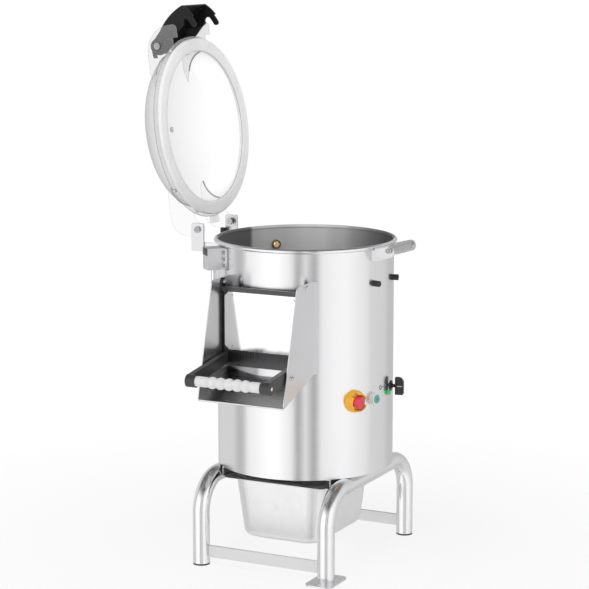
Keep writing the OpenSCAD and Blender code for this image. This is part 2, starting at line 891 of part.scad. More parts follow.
module cable_gland() {
    color("black") on_drum(gland_angle, gland_z) difference() {
        union() {
            translate([0, 0, -gland_in]) cylinder(h = gland_in + gland_nut_h, d = gland_d);
            cylinder(h = gland_nut_h, d = gland_nut_d, $fn = 6);
            translate([0, 0, gland_nut_h])
                cylinder(h = gland_dome_h, r1 = gland_nut_d / 2 - cut, r2 = gland_d / 2);
        }
        translate([0, 0, -gland_in - cut]) cylinder(h = span, d = gland_bore);
    }
}

// Chute
module chute_side_outline() {
    slope_in = chute_heel_y - chute_deep;
    top = [-chute_top_reach, chute_top];
    lip = [-chute_lip_reach, chute_lip];
    heel = [-slope_in, chute_heel + chute_deep * tan(chute_slope)];
    inner = [-slope_in, chute_top];
    polygon(concat(
        [inner],
        rounded(inner, top, lip, chute_corner_r),
        rounded(top, lip, heel, chute_lip_r),
        [heel]
    ));
}

// Side plates with a flange along the drum and holes for the hinge screws and the catches
module chute_sides() {
    color("silver") both_x() difference() {
        union() {
            translate([chute_w / 2 - sheet_t / 2, 0, 0]) along_x(sheet_t) chute_side_outline();
            intersection() {
                translate([0, 0, chute_heel])
                    ring(drum_r + sheet_t, drum_r - cut, chute_top - chute_heel, $fn = 128);
                translate([chute_w / 2 - sheet_t, -drum_d, chute_heel])
                    cube([chute_tab, drum_d, chute_top - chute_heel]);
            }
        }
        drum_solid();
        translate([0, door_pivot[0], door_pivot[1]]) rotate([0, 90, 0])
            cylinder(h = chute_w, d = door_pin_d);
        translate([0, catch_at[0], catch_at[1]]) rotate([0, 90, 0]) cylinder(h = chute_w, d = catch_d);
    }
}

// Sloping floor with a rolled lip
module chute_floor() {
    half = chute_w / 2 - sheet_t;
    color("silver") difference() {
        translate([0, -chute_lip_reach, chute_lip]) rotate([chute_slope, 0, 0]) {
            translate([-half, chute_hem_r, 0]) cube([2 * half, chute_lip_reach, sheet_t]);
            translate([-half, chute_hem_r, chute_hem_r]) rotate([0, 90, 0])
                cylinder(h = 2 * half, r = chute_hem_r);
        }
        drum_solid();
    }
}

// Frame round the outlet, which the door's gasket closes on
module door_collar() {
    h = collar_top - collar_low;
    color("silver") difference() {
        translate([-collar_half, -collar_front, collar_low]) cube([2 * collar_half, collar_front, h]);
        translate([-collar_half + sheet_t, -collar_front - cut, collar_low + sheet_t])
            cube([2 * (collar_half - sheet_t), collar_front, h - 2 * sheet_t]);
        drum_solid();
    }
}

module door_hinge_screws() {
    color("silver") both_x() translate([0, door_pivot[0], door_pivot[1]]) rotate([0, 90, 0]) {
        translate([0, 0, chute_w / 2]) cylinder(h = screw_head_h, d = door_pin_d * nut_ratio);
        translate([0, 0, ear_x - slide_gap - nut_h])
            cylinder(h = chute_w / 2 - ear_x + slide_gap + nut_h, d = door_pin_d);
        translate([0, 0, ear_x - slide_gap - nut_h])
            cylinder(h = nut_h, d = door_pin_d * nut_ratio, $fn = 6);
    }
}

// Spring plungers that hold the lifted arms
module door_catches() {
    color("silver") both_x() translate([0, catch_at[0], catch_at[1]]) rotate([0, 90, 0]) {
        translate([0, 0, arm_out + slide_gap])
            cylinder(h = chute_w / 2 - arm_out + catch_out, d = catch_d);
        translate([0, 0, chute_w / 2]) cylinder(h = catch_flange, d = catch_d * catch_ratio);
    }
}

// Door, all in its closed place
module door_panel() {
    color("silver") difference() {
        union() {
            translate([-door_half, -door_front, door_low])
                cube([2 * door_half, sheet_t, door_top - door_low]);
            translate([-door_half, -door_front - door_flange, door_top - sheet_t])
                cube([2 * door_half, door_flange + sheet_t, sheet_t]);
            translate([-door_half, -door_front - door_flange, face_top])
                cube([2 * door_half, sheet_t, door_top - face_top]);
            both_x() translate([ear_x + sheet_t / 2, 0, 0]) along_x(sheet_t) {
                translate([-door_front - door_flange, door_low])
                    square([door_flange + sheet_t, door_top - door_low]);
                capsule([-door_front, door_top - ear_r], ear_r, door_pivot, ear_r);
            }
        }
        translate([-door_half - cut, door_pivot[0], door_pivot[1]]) rotate([0, 90, 0])
            cylinder(h = chute_w, d = door_pin_d + 2 * run_gap);
    }
}

module door_gasket() {
    out = collar_half + gasket_w / 2;
    in = collar_half - gasket_w / 2;
    color("black") translate([0, -door_back, 0]) difference() {
        translate([-out, 0, collar_low - gasket_w / 2])
            cube([2 * out, gasket_t, collar_top - collar_low + gasket_w]);
        translate([-in, -cut, collar_low + gasket_w / 2])
            cube([2 * in, gasket_t + 2 * cut, collar_top - collar_low - gasket_w]);
    }
}

module door_face_plate() {
    c = face_half - face_clip;
    color("white") translate([0, -door_front - face_t / 2, 0]) along_y(face_t) polygon([
        [-face_half, face_low + face_clip], [-c, face_low],
        [c, face_low], [face_half, face_low + face_clip],
        [face_half, face_top - face_clip], [c, face_top],
        [-c, face_top], [-face_half, face_top - face_clip]
    ]);
}

module door_face_screws() {
    x = face_half - face_clip - face_screw_in;
    color("silver") both_x() for (z = [face_low + face_screw_in, face_top - face_screw_in])
        translate([x, -door_front - face_t, z]) rotate([90, 0, 0])
            cylinder(h = face_screw_h, r1 = face_screw_d / 2, r2 = face_screw_d / 3);
}

module door_arms() {
    grip_at = [-grip_reach, grip_z];
    color("dimgray") both_x() difference() {
        union() {
            translate([arm_out - arm_t / 2, 0, 0]) along_x(arm_t) difference() {
                capsule([-door_front, stand_h + arm_up], arm_h / 2, grip_at, boss_r);
                translate([-door_front, 0]) square(span);
            }
            translate([grip_l / 2, grip_at[0], grip_at[1]]) rotate([0, 90, 0])
                cylinder(h = boss_l, r = boss_r);
        }
        translate([0, grip_at[0], grip_at[1]]) rotate([0, 90, 0]) cylinder(h = chute_w, d = rod_d);
    }
}

// White grip with a row of round finger bulges
function grip_r(x) =
    abs(x) > grip_pitch * grip_bulges / 2 ? grip_d / 2 - grip_waist / 2
    : grip_d / 2 - grip_waist * (1 - abs(cos(180 * x / grip_pitch)));

module door_grip() {
    steps = 14;
    edge = grip_pitch * grip_bulges / 2;
    xs = [for (i = [0 : grip_bulges * steps]) -edge + i * grip_pitch / steps];
    end_r = grip_d / 2 - grip_waist / 2;
    color("white") translate([0, -grip_reach, grip_z]) rotate([0, 90, 0])
        rotate_extrude() polygon(concat(
        [[rod_d / 2, -grip_l / 2], [end_r, -grip_l / 2], [end_r, -edge - grip_waist]],
        [for (x = xs) [grip_r(x), x]],
        [[end_r, edge + grip_waist], [end_r, grip_l / 2], [rod_d / 2, grip_l / 2]]
    ));
}

module grip_rod() {
    l = grip_l + 2 * boss_l + 2 * rod_out;
    color("silver") translate([-l / 2, -grip_reach, grip_z]) rotate([0, 90, 0])
        cylinder(h = l, d = rod_d);
}

// Lid hinge
module hinge_bracket() {
    out = hinge_out + hinge_plate_half;
    color("silver") difference() {
        translate([-out, -hinge_plate_in, hinge_plate_low]) cube([out, 2 * hinge_plate_in, bracket_h]);
        translate([-out - cut, -hinge_plate_in + bracket_t, hinge_plate_low + bracket_t])
            cube([out + 2 * cut, 2 * (hinge_plate_in - bracket_t), bracket_h]);
        drum_solid();
    }
}

module hinge_plates() {
    mid = (hinge_plate_top + hinge_plate_low) / 2;
    color("silver") both_y() translate([0, hinge_plate_in + hinge_plate_t / 2, 0])
        along_y(hinge_plate_t) difference() {
            translate([hinge_x, mid])
                rounded_rect(2 * hinge_plate_half, hinge_plate_top - hinge_plate_low, hinge_plate_r);
            translate([hinge_x, hinge_z]) circle(d = hinge_pin_d);
        }
}

module hinge_pins() {
    color("silver") both_y() translate([hinge_x, 0, hinge_z]) rotate([-90, 0, 0]) {
        translate([0, 0, lug_in - slide_gap - nut_h])
            cylinder(h = hinge_plate_in + hinge_plate_t - lug_in + slide_gap + nut_h, d = hinge_pin_d);
        translate([0, 0, lug_in - slide_gap - nut_h])
            cylinder(h = nut_h, d = hinge_pin_d * nut_ratio, $fn = 6);
        translate([0, 0, hinge_plate_in + hinge_plate_t]) cylinder(h = pin_head_h, d = pin_head_d);
    }
}

// Lid switch on the drum's wall and its cable conduit
module switch_housing() {
    color("silver") difference() {
        rotate([0, 0, switch_angle]) translate([drum_r, 0, switch_top - switch_h]) union() {
            translate([switch_l / 2 - switch_corner, 0, 0])
                linear_extrude(switch_h)
                    rounded_rect(switch_l + 2 * switch_corner, switch_w, switch_corner);
            translate([-switch_corner, switch_w / 2 - cut, switch_corner])
                cube([2 * switch_corner, switch_tab + cut, switch_h - 2 * switch_corner]);
        }
        drum_solid();
    }
}

module switch_conduit() {
    bend = conduit_d;
    out = conduit_out - drum_r;
    color("gray") rotate([0, 0, switch_angle]) translate([drum_r, 0, conduit_low]) {
        translate([out, 0, bend])
            ring(conduit_d / 2, conduit_d / 2 - conduit_wall, switch_top - switch_h - conduit_low - bend);
        translate([out - bend, 0, bend]) rotate([90, 0, 0]) rotate([0, 0, -90])
            rotate_extrude(angle = 90) translate([bend, 0]) difference() {
            circle(conduit_d / 2);
            circle(conduit_d / 2 - conduit_wall);
        }
        translate([-drum_wall - conduit_in, 0, 0]) rotate([0, 90, 0])
            ring(conduit_d / 2, conduit_d / 2 - conduit_wall, drum_wall + conduit_in + out - bend);
    }
}

// Lid: everything below is drawn closed about the lid's centre and then turned to its open place
module lid_pose() {
    translate([hinge_x, 0, hinge_z]) rotate([0, -lid_open, 0])
        translate([lid_reach, 0, -hinge_rise]) children();
}

// Half section of the dome, shrunk by t: wall, shoulder and crown meet in tangents
module dome_half(t, low) {
    centre = [dome_r - dome_shoulder_r, dome_wall_up];
    crown = [0, dome_wall_up + dome_rise - crown_r];
    way = unit(centre - crown);
    translate([0, low]) square([dome_r - t, dome_wall_up - low]);
    intersection() {
        translate(centre) circle(dome_shoulder_r - t);
        translate([0, dome_wall_up]) square(span);
    }
    intersection() {
        translate(crown) circle(crown_r - t, $fn = 128);
        polygon([[0, dome_wall_up], centre, centre + span * way, [0, span]]);
    }
}

module lid_dome() {
    color("lightblue", 0.4) lid_pose() rotate_extrude($fn = 128) {
        difference() {
            dome_half(0, seal_h);
            dome_half(dome_t, seal_h - cut);
        }
        translate([dome_r - dome_t, seal_h]) square([lid_d / 2 - dome_r + dome_t, flange_h]);
    }
}

module lid_seal() {
    color("gray") lid_pose() ring(lid_d / 2 - seal_in, window_d / 2, seal_h, $fn = 128);
}

// Radius of the dome's outside at height h above the seal face
function dome_r_at(h) =
    let (centre_z = dome_wall_up + dome_rise - crown_r, shoulder_x = dome_r - dome_shoulder_r)
    let (joint_z = dome_wall_up + dome_shoulder_r * (dome_wall_up - centre_z) / (crown_r - dome_shoulder_r))
    h < dome_wall_up ? dome_r
    : h < joint_z ? shoulder_x + sqrt(pow(dome_shoulder_r, 2) - pow(h - dome_wall_up, 2))
    : sqrt(pow(crown_r, 2) - pow(h - centre_z, 2));

// The dome's outline in the plane of the lugs' inner faces
function dome_edge(h) = [sqrt(pow(dome_r_at(h), 2) - pow(lug_in, 2)) + seat_gap, h];

function arc(centre, r, from, to, steps) =
    [for (i = [0 : steps]) let (a = from + (to - from) * i / steps) centre + r * [cos(a), sin(a)]];

// One pair of lugs with a pin hole: a nose, a tall brow and a back edge that follows the dome
module lug_pair(hole, hole_d) {
    nose = [lid_reach, hinge_rise];
    brow = [lug_brow_out, lug_up - lug_brow_r];
    foot = seal_h + flange_h + seat_gap;
    back = lug_up - lug_drop;
    d = nose - brow;
    flank = atan2(d[1], d[0]) + acos((lug_brow_r - lug_nose_r) / norm(d));
    both_y() translate([0, lug_mid, 0]) along_y(lug_t) difference() {
        polygon(concat(
            arc(nose, lug_nose_r, lug_chamfer, flank, lug_steps),
            arc(brow, lug_brow_r, flank, 90, lug_steps),
            [[dome_r - dome_shoulder_r, lug_up]],
            [for (i = [0 : lug_steps]) dome_edge(back + (foot - back) * i / lug_steps)],
            [[lid_d / 2 + seat_gap, foot]]
        ));
        translate(hole) circle(d = hole_d);
    }
}

module hinge_lugs() {
    color("lightblue", 0.4) lid_pose() mirror([1, 0, 0])
        lug_pair([lid_reach, hinge_rise], hinge_pin_d + 2 * run_gap);
}

module latch_lugs() {
    color("lightblue", 0.4) lid_pose() lug_pair([latch_out, latch_up], latch_pin_d);
}

module lid_bolts() {
    color("silver") lid_pose() for (a = lid_bolt_angles) both_y() rotate([0, 0, a])
        translate([lid_bolt_ring, 0, seal_h + flange_h])
            cylinder(h = lid_bolt_h, d = lid_bolt_d);
}

module latch_pins() {
    in = latch_half - latch_cheek - cut;
    out = lug_in + lug_t;
    color("silver") lid_pose() translate([latch_out, 0, latch_up]) both_y() rotate([-90, 0, 0]) {
        translate([0, 0, in]) cylinder(h = out - in, d = latch_pin_d);
        translate([0, 0, out]) cylinder(h = pin_head_h, d = pin_head_d);
    }
}

// Latch handle, about its pivot
module latch_outline(t) {
    intersection() {
        translate(latch_back_at) circle(latch_back_r - t, $fn = 128);
        polygon([
            latch_back_at, latch_back_at + span * latch_knee_dir,
            [span, span], [span, -span], latch_back_at + [0, -span]
        ]);
    }
    translate(latch_heel_at) circle(latch_heel_r - t, $fn = 128);
}

module latch_cheek_outline() {
    difference() {
        union() {
            intersection() {
                latch_outline(0);
                circle(latch_end_r, $fn = 128);
                polygon([[0, 0], span * unit(bar_at), [span, span], [0, span]]);
            }
            intersection() {
                difference() {
                    translate(latch_heel_at) circle(latch_heel_r, $fn = 128);
                    translate(latch_heel_at) circle(latch_heel_r - latch_web, $fn = 128);
                }
                translate([-latch_heel, -latch_boss_r]) square([latch_heel + latch_boss_r, span]);
            }
            circle(latch_boss_r);
            latch_tongue();
        }
        translate(bar_at) circle(bar_r + hook_gap);
    }
}

// The hook's tongue: a ring about the pivot that ends in a round tip
module latch_tongue() {
    mid = (hook_in_r + hook_out_r) / 2;
    intersection() {
        difference() {
            circle(hook_out_r, $fn = 128);
            circle(hook_in_r, $fn = 128);
        }
        polygon([
            [0, 0], span * [sin(hook_tip_angle), -cos(hook_tip_angle)],
            span * [sin(bar_angle + cut), -cos(bar_angle + cut)]
        ]);
    }
    translate(mid * [sin(hook_tip_angle), -cos(hook_tip_angle)]) circle(hook_t / 2);
}

// Seen from above: full width at the pivot, then a taper to the straight grip
module latch_planform(inset) {
    far = latch_end_r + cut;
    half = latch_half - inset;
    tip = latch_tip_w / 2 - inset;
    both_y() polygon([
        [-far, -cut], [-far, half], [latch_taper_from, half],
        [latch_taper_end, tip], [far, tip], [far, -cut]
    ]);
}

module latch_handle() {
    color("black") lid_pose() translate([latch_out, 0, latch_up]) difference() {
        union() {
            intersection() {
                along_y(2 * latch_half) difference() {
                    intersection() {
                        latch_outline(0);
                        circle(latch_end_r, $fn = 128);
                        translate([0, -span]) square(2 * span);
                    }
                    latch_outline(latch_wall);
                }
                linear_extrude(2 * latch_end_r, center = true) latch_planform(0);
            }
            intersection() {
                along_y(2 * latch_half) latch_cheek_outline();
                linear_extrude(2 * latch_end_r, center = true) difference() {
                    latch_planform(0);
                    latch_planform(latch_cheek);
                }
            }
        }
        rotate([90, 0, 0]) cylinder(h = 4 * latch_half, d = latch_pin_d + 2 * run_gap, center = true);
    }
}

// Bar that the hooks catch, and the plates that carry it
module latch_bar() {
    color("silver") translate([bar_out, -bar_l / 2, bar_z]) rotate([-90, 0, 0])
        cylinder(h = bar_l, d = bar_d);
}

module latch_brackets() {
    color("silver") both_y() difference() {
        translate([0, bracket_plate_y, 0]) along_y(bracket_plate_t) difference() {
            capsule(
                [drum_in_r, bar_z - bracket_plate_h / 2], bracket_plate_h / 2,
                [bar_out, bar_z - bar_r / 2], bracket_plate_h / 2 - cut
            );
            translate([bar_out, bar_z]) circle(bar_r);
        }
        drum_solid();
        translate([0, 0, rim_z - rim_bead_d - slide_gap])
            cylinder(h = span, r = bead_centre_r + bead_r + slide_gap, $fn = 128);
    }
}

// Rubber buffers for the latch and the block that stops the open lid
module rubber_bumpers() {
    color("black") {
        difference() {
            for (a = [-bumper_angle, bumper_angle]) on_drum(a, bumper_z, -bumper_d / 4)
                cylinder(h = bumper_l + bumper_d / 4, d = bumper_d);
            drum_solid();
        }
        translate([hinge_x, hinge_plate_in - bracket_t, hinge_plate_low + bracket_t])
            translate([-stop_block[0], -stop_block[1], 0]) cube(stop_block);
    }
}

// Controls: drawn outwards from the drum's wall
// The stop's base disc and the notched guard ring that clips round it
module estop_collar() {
    color("gold") difference() {
        on_drum(estop_angle, estop_z) {
            translate([0, 0, -collar_base_h])
                ring(guard_in - seat_gap, stem_d / 2 + run_gap, 2 * collar_base_h);
            difference() {
                translate([0, 0, -collar_base_h])
                    ring(estop_d / 2, guard_in, 2 * collar_base_h + guard_h);
                for (a = [0, 90]) rotate([0, 0, a])
                    translate([-estop_d, -guard_slot / 2, collar_base_h])
                        cube([2 * estop_d, guard_slot, span]);
            }
        }
        drum_solid();
    }
}

module estop_stem() {
    color("dimgray") on_drum(estop_angle, estop_z) translate([0, 0, -stem_in])
        cylinder(h = stem_in + head_up + head_h / 2, d = stem_d);
}

module estop_head() {
    color("red") on_drum(estop_angle, estop_z) translate([0, 0, head_up]) difference() {
        union() {
            cylinder(h = head_h - head_edge, d = estop_head_d);
            translate([0, 0, head_h - head_edge])
                cylinder(h = head_edge, d1 = estop_head_d, d2 = estop_head_d - 3 * head_edge);
        }
        translate([0, 0, -cut]) cylinder(h = head_h / 2 + cut + run_gap, d = stem_d + 2 * run_gap);
    }
}

module start_bezel() {
    color("white") difference() {
        on_drum(start_angle, start_z) difference() {
            translate([0, 0, -drum_wall]) cylinder(h = bezel_h + drum_wall, d = start_d);
            translate([0, 0, -span / 2]) cylinder(h = span, d = start_cap_d + 2 * slide_gap);
        }
        drum_solid();
    }
}

module start_cap() {
    color("teal") on_drum(start_angle, start_z) {
        translate([0, 0, cap_low]) cylinder(h = bezel_h + cut - cap_low, d = start_cap_d);
        translate([0, 0, -cap_in]) cylinder(h = cap_in + cap_low + cut, d = start_cap_d / 2);
    }
}

module lamp_lens() {
    color("lime") difference() {
        on_drum(lamp_angle, lamp_z) {
            translate([0, 0, -lamp_in]) cylinder(h = lamp_in + cut, d = lamp_bore - 2 * seat_gap);
            translate([0, 0, -drum_wall]) cylinder(h = drum_wall + lamp_h, d = lamp_d);
            translate([0, 0, lamp_h]) intersection() {
                sphere(d = lamp_d);
                cylinder(h = lamp_d, d = lamp_d);
            }
        }
        difference() {
            drum_solid();
            on_drum(lamp_angle, lamp_z) translate([0, 0, -span / 2])
                cylinder(h = span, d = lamp_bore - 2 * seat_gap);
        }
    }
}

module timer_dial() {
    color("dimgray") difference() {
        on_drum(timer_angle, timer_z) translate([0, 0, -drum_wall])
            cylinder(h = drum_wall + dial_h, d = dial_d);
        drum_solid();
        wall_hole(timer_angle, timer_z, timer_stem_d + 2 * run_gap);
    }
}

// Stem, narrow neck and an upright wing with a round top corner and a square lower one
module timer_knob() {
    half = knob_h / 2;
    out = knob_up + knob_t;
    foot = [[-half, knob_up], [half, knob_up]];
    front = [[-half, out], [half, out]];
    color("black") on_drum(timer_angle, timer_z) {
        translate([0, 0, -timer_in]) cylinder(h = timer_in + knob_up, d = timer_stem_d);
        translate([0, 0, dial_h + slide_gap])
            cylinder(h = knob_up - dial_h - slide_gap, d = knob_neck_d);
        along_y(knob_wing) polygon(concat(
            [foot[0]],
            rounded(foot[0], front[0], front[1], knob_round),
            rounded(front[0], front[1], foot[1], knob_edge),
            [foot[1]]
        ));
    }
}

module block_at(angle, z, w, l, bore) {
    on_drum(angle, z) translate([0, 0, -drum_wall - sag(w / 2) - l]) difference() {
        translate([-w / 2, -w / 2, 0]) cube([w, w, l]);
        translate([0, 0, block_back]) cylinder(h = l, d = bore + 2 * slide_gap);
    }
}

// Contact blocks behind the controls
module switch_blocks() {
    color("dimgray") {
        block_at(estop_angle, estop_z, block_w, block_l, stem_d);
        block_at(start_angle, start_z, block_w, block_l, start_cap_d / 2);
        block_at(lamp_angle, lamp_z, lamp_block, lamp_block, lamp_bore);
        block_at(timer_angle, timer_z, block_w, block_l, timer_stem_d);
    }
}

left_leg_hoop();
right_leg_hoop();
crossbars();
leg_end_caps();
floor_plates();
base_plate();
base_bolts();
pan_rails();
peel_pan();
drum_shell();
chamber_floor();
bearing_housing();
shaft_bearings();
shaft_seal();
drive_shaft();
shaft_pulley();
peeling_disc();
motor_body();
motor_hanger();
motor_shaft();
motor_pulley();
drive_belt();
water_inlet();
cable_gland();
chute_sides();
chute_floor();
door_collar();
door_hinge_screws();
door_catches();
door_panel();
door_gasket();
door_face_plate();
door_face_screws();
door_arms();
door_grip();
grip_rod();
hinge_bracket();
hinge_plates();
hinge_pins();
switch_housing();
switch_conduit();
lid_dome();
lid_seal();
hinge_lugs();
latch_lugs();
lid_bolts();
latch_pins();
latch_handle();
latch_bar();
latch_brackets();
rubber_bumpers();
estop_collar();
estop_stem();
estop_head();
start_bezel();
start_cap();
lamp_lens();
timer_dial();
timer_knob();
switch_blocks();
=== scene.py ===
"""Looks of the floor-standing potato peeler: materials, small trim, light and the photograph's camera."""
import json
import math

import bmesh
import bpy
from mathutils import Matrix, Vector


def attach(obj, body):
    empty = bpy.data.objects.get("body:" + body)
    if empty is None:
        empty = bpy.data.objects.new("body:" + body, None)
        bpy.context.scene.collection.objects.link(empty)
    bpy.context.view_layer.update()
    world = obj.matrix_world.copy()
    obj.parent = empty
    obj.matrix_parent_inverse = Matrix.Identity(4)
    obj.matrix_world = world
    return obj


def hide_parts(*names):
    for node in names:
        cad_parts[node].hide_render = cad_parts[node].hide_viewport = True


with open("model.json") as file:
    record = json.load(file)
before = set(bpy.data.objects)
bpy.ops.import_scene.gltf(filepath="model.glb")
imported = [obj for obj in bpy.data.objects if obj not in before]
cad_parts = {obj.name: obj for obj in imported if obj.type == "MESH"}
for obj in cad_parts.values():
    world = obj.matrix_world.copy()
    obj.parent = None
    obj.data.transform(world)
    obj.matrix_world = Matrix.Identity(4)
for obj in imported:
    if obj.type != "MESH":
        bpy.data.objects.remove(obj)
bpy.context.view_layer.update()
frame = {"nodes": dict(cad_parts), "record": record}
nodes = frame["nodes"]
joints = {joint["name"]: joint for joint in frame["record"]["behaviour"]["joints"]}

# The camera fitted to the photograph: angles in degrees, distances in metres, focal length in pixels
AZIMUTH, ELEVATION = 26.66, 9.81
DISTANCE, FOCAL_PX, IMAGE_PX, SENSOR_MM, FARTHEST = 5.0632, 2124.12, 589, 36.0, 50
TARGET_RIGHT, TARGET_UP = -0.02638, 0.62625

# Sizes that the trim shares with the solids, in metres
DRUM_R = 0.210
LID_REACH, HINGE_RISE = 0.240, 0.0117
DOME_R, DOME_WALL_UP, DOME_RISE, SHOULDER_R, DOME_T = 0.198, 0.024, 0.074, 0.052, 0.004
FLANGE_R, FLANGE_LOW, FLANGE_TOP = 0.217, 0.009, 0.018
SEAL_R, WINDOW_R = 0.212, 0.181
LUG_MID = 0.0795
LATCH_X, LATCH_Z = 0.203, 0.0607

# Controls on the drum's wall: angle about its axis in degrees, and height
STOP = (-31, 0.406)
START = (-15, 0.404)
ZERO = (-6.7, 0.425)
TIMER = (11, joints["timer_turn"]["pos_m"][2])
SWITCH_ANGLE = 226.5

# Space between a piece and its neighbour
GAP = 0.0003


# Materials

GRAIN_DEPTH = 0.0002
CLOUD_SHARE, STEEL_RANGE = 0.35, (0.45, 0.9)


def new_material(name):
    """A node material with its tree and its shader."""
    material = bpy.data.materials.new(name)
    material.use_nodes = True
    tree = material.node_tree
    return material, tree, tree.nodes["Principled BSDF"]


def feed(tree, node, inputs):
    """Sets a node's inputs, each to a value or to the socket that drives it."""
    for key, value in inputs.items():
        if isinstance(value, bpy.types.NodeSocket):
            tree.links.new(value, node.inputs[key])
        else:
            node.inputs[key].default_value = value


def add(tree, kind, inputs=None, **settings):
    """A new node with its settings and inputs."""
    node = tree.nodes.new(kind)
    for key, value in settings.items():
        setattr(node, key, value)
    feed(tree, node, inputs or {})
    return node


def grain(tree, scale, detail=4.0):
    """Noise in the object's own coordinates, stretched by scale; gives its value socket."""
    where = add(tree, "ShaderNodeTexCoord").outputs["Object"]
    stretched = add(tree, "ShaderNodeMapping", {"Vector": where, "Scale": scale}).outputs["Vector"]
    noise = {"Vector": stretched, "Scale": 1.0, "Detail": detail, "Roughness": 0.55}
    return add(tree, "ShaderNodeTexNoise", noise).outputs["Fac"]


def spread(tree, value, low, high, start=0.3, end=0.7):
    """A value moved from start..end to low..high."""
    limits = {"Value": value, "From Min": start, "From Max": end, "To Min": low, "To Max": high}
    return add(tree, "ShaderNodeMapRange", limits).outputs["Result"]


def tint(tree, value, dark, light, start=0.3, end=0.7):
    """A colour between dark and light."""
    ramp = add(tree, "ShaderNodeValToRGB", {"Fac": value})
    for stop, position, colour in zip(ramp.color_ramp.elements, (start, end), (dark, light)):
        stop.position = position
        stop.color = (*colour, 1)
    return ramp.outputs["Color"]


def turn_bands(tree, y, x, bands, easing="LINEAR"):
    """Greys that follow the angle of (x, y) by bands of (degrees, grey)."""
    turn = add(tree, "ShaderNodeMath", {0: y, 1: x}, operation="ARCTAN2").outputs["Value"]
    ramp = add(tree, "ShaderNodeValToRGB", {"Fac": spread(tree, turn, 0.0, 1.0, -math.pi, math.pi)})
    ramp.color_ramp.interpolation = easing
    stops = ramp.color_ramp.elements
    while len(stops) < len(bands):
        stops.new(0.5)
    for stop, (degrees, grey) in zip(stops, bands):
        stop.position = (degrees + 180) / 360
        stop.color = (grey, grey, grey, 1)
    return ramp.outputs["Color"]


def relief(tree, shader, value, strength, edge):
    """Bump from a value over edges softened by a small radius."""
    soft = add(tree, "ShaderNodeBevel", {"Radius": edge}, samples=6).outputs["Normal"]
    bump = {"Strength": strength, "Distance": GRAIN_DEPTH, "Height": value, "Normal": soft}
    feed(tree, shader, {"Normal": add(tree, "ShaderNodeBump", bump).outputs["Normal"]})


def shades(colour, amount):
    """A darker and a lighter colour."""
    return [c * (1 - amount) for c in colour], [min(1.0, c * (1 + amount)) for c in colour]


def steel(name, colour, rough, lines, vary=0.04, bump=0.04, edge=0.0008, streak=0.0):
    """Brushed or polished metal: fine lines along the long axis of the stretched noise, and broad faint clouds."""
    material, tree, shader = new_material(name)
    fine = grain(tree, lines, detail=6.0)
    cloud = grain(tree, (9, 9, 9), detail=2.0)
    both = add(tree, "ShaderNodeMath", {0: cloud, 1: CLOUD_SHARE, 2: fine}, operation="MULTIPLY_ADD")
    both = both.outputs["Value"]
    feed(tree, shader, {
        "Base Color": tint(tree, both, *shades(colour, vary), *STEEL_RANGE),
        "Roughness": spread(tree, both, rough * 0.8, rough * 1.25, *STEEL_RANGE),
        "Metallic": 1.0,
    })
    if streak:
        round_z = add(tree, "ShaderNodeTangent", direction_type="RADIAL", axis="Z").outputs["Tangent"]
        feed(tree, shader, {"Tangent": round_z, "Anisotropic": streak, "Anisotropic Rotation": 0.25})
    relief(tree, shader, fine, bump, edge)
    return material


def satin_outside(material, inside, outside):
    """Roughness of a pair of plates: one value on the faces that look at each other, another on their backs."""
    tree = material.node_tree
    where = add(tree, "ShaderNodeNewGeometry")
    sides = [
        add(tree, "ShaderNodeSeparateXYZ", {"Vector": where.outputs[output]}).outputs["X"]
        for output in ("Normal", "Position")
    ]
    outward = add(tree, "ShaderNodeMath", dict(enumerate(sides)), operation="MULTIPLY").outputs["Value"]
    rough = spread(tree, outward, inside, outside, -0.02, 0.02)
    feed(tree, tree.nodes["Principled BSDF"], {"Roughness": rough})


def dull_inside_with_painted_shade(material, bands, metal, rough):
    """Inside of a drum about the frame's z axis: a duller finish, with painted shade and painted reflection as
    greys that follow bands of (degrees, grey).
    """
    tree = material.node_tree
    shader = tree.nodes["Principled BSDF"]
    where = add(tree, "ShaderNodeNewGeometry").outputs
    flat = add(tree, "ShaderNodeVectorMath", {0: where["Position"], 1: (1, 1, 0)}, operation="MULTIPLY")
    ways = {0: flat.outputs["Vector"], 1: where["Normal"]}
    outward = add(tree, "ShaderNodeVectorMath", ways, operation="DOT_PRODUCT").outputs["Value"]
    inside = spread(tree, outward, 1.0, 0.0, -0.06, 0.0)
    split = add(tree, "ShaderNodeSeparateXYZ", {"Vector": where["Position"]}).outputs
    outer_colour, outer_rough = (shader.inputs[key].links[0].from_socket for key in ("Base Color", "Roughness"))
    # The inner faces take painted shade and painted reflection from the grey bands
    colours = {"Factor": inside, "A": outer_colour, "B": turn_bands(tree, split["Y"], split["X"], bands)}
    finishes = {"Factor": inside, "A": outer_rough, "B": rough}
    feed(tree, shader, {
        "Base Color": add(tree, "ShaderNodeMix", colours, data_type="RGBA").outputs["Result"],
        "Roughness": add(tree, "ShaderNodeMix", finishes, data_type="FLOAT").outputs["Result"],
        "Metallic": spread(tree, inside, 1.0, metal, 0.0, 1.0),
    })


def plastic(name, colour, rough, size=900, vary=0.08, bump=0.12, edge=0.0012, coat=0.0, shine=0.5):
    """Moulded plastic, rubber or paint with a fine grain and faint clouds."""
    material, tree, shader = new_material(name)
    fine = grain(tree, (size, size, size), detail=3.0)
    cloud = grain(tree, (25, 25, 25), detail=3.0)
    feed(tree, shader, {
        "Base Color": tint(tree, cloud, *shades(colour, vary)),
        "Roughness": spread(tree, cloud, rough * 0.85, rough * 1.2),
        "Coat Weight": coat,
        "Specular IOR Level": shine,
    })
    relief(tree, shader, fine, bump, edge)
    return material


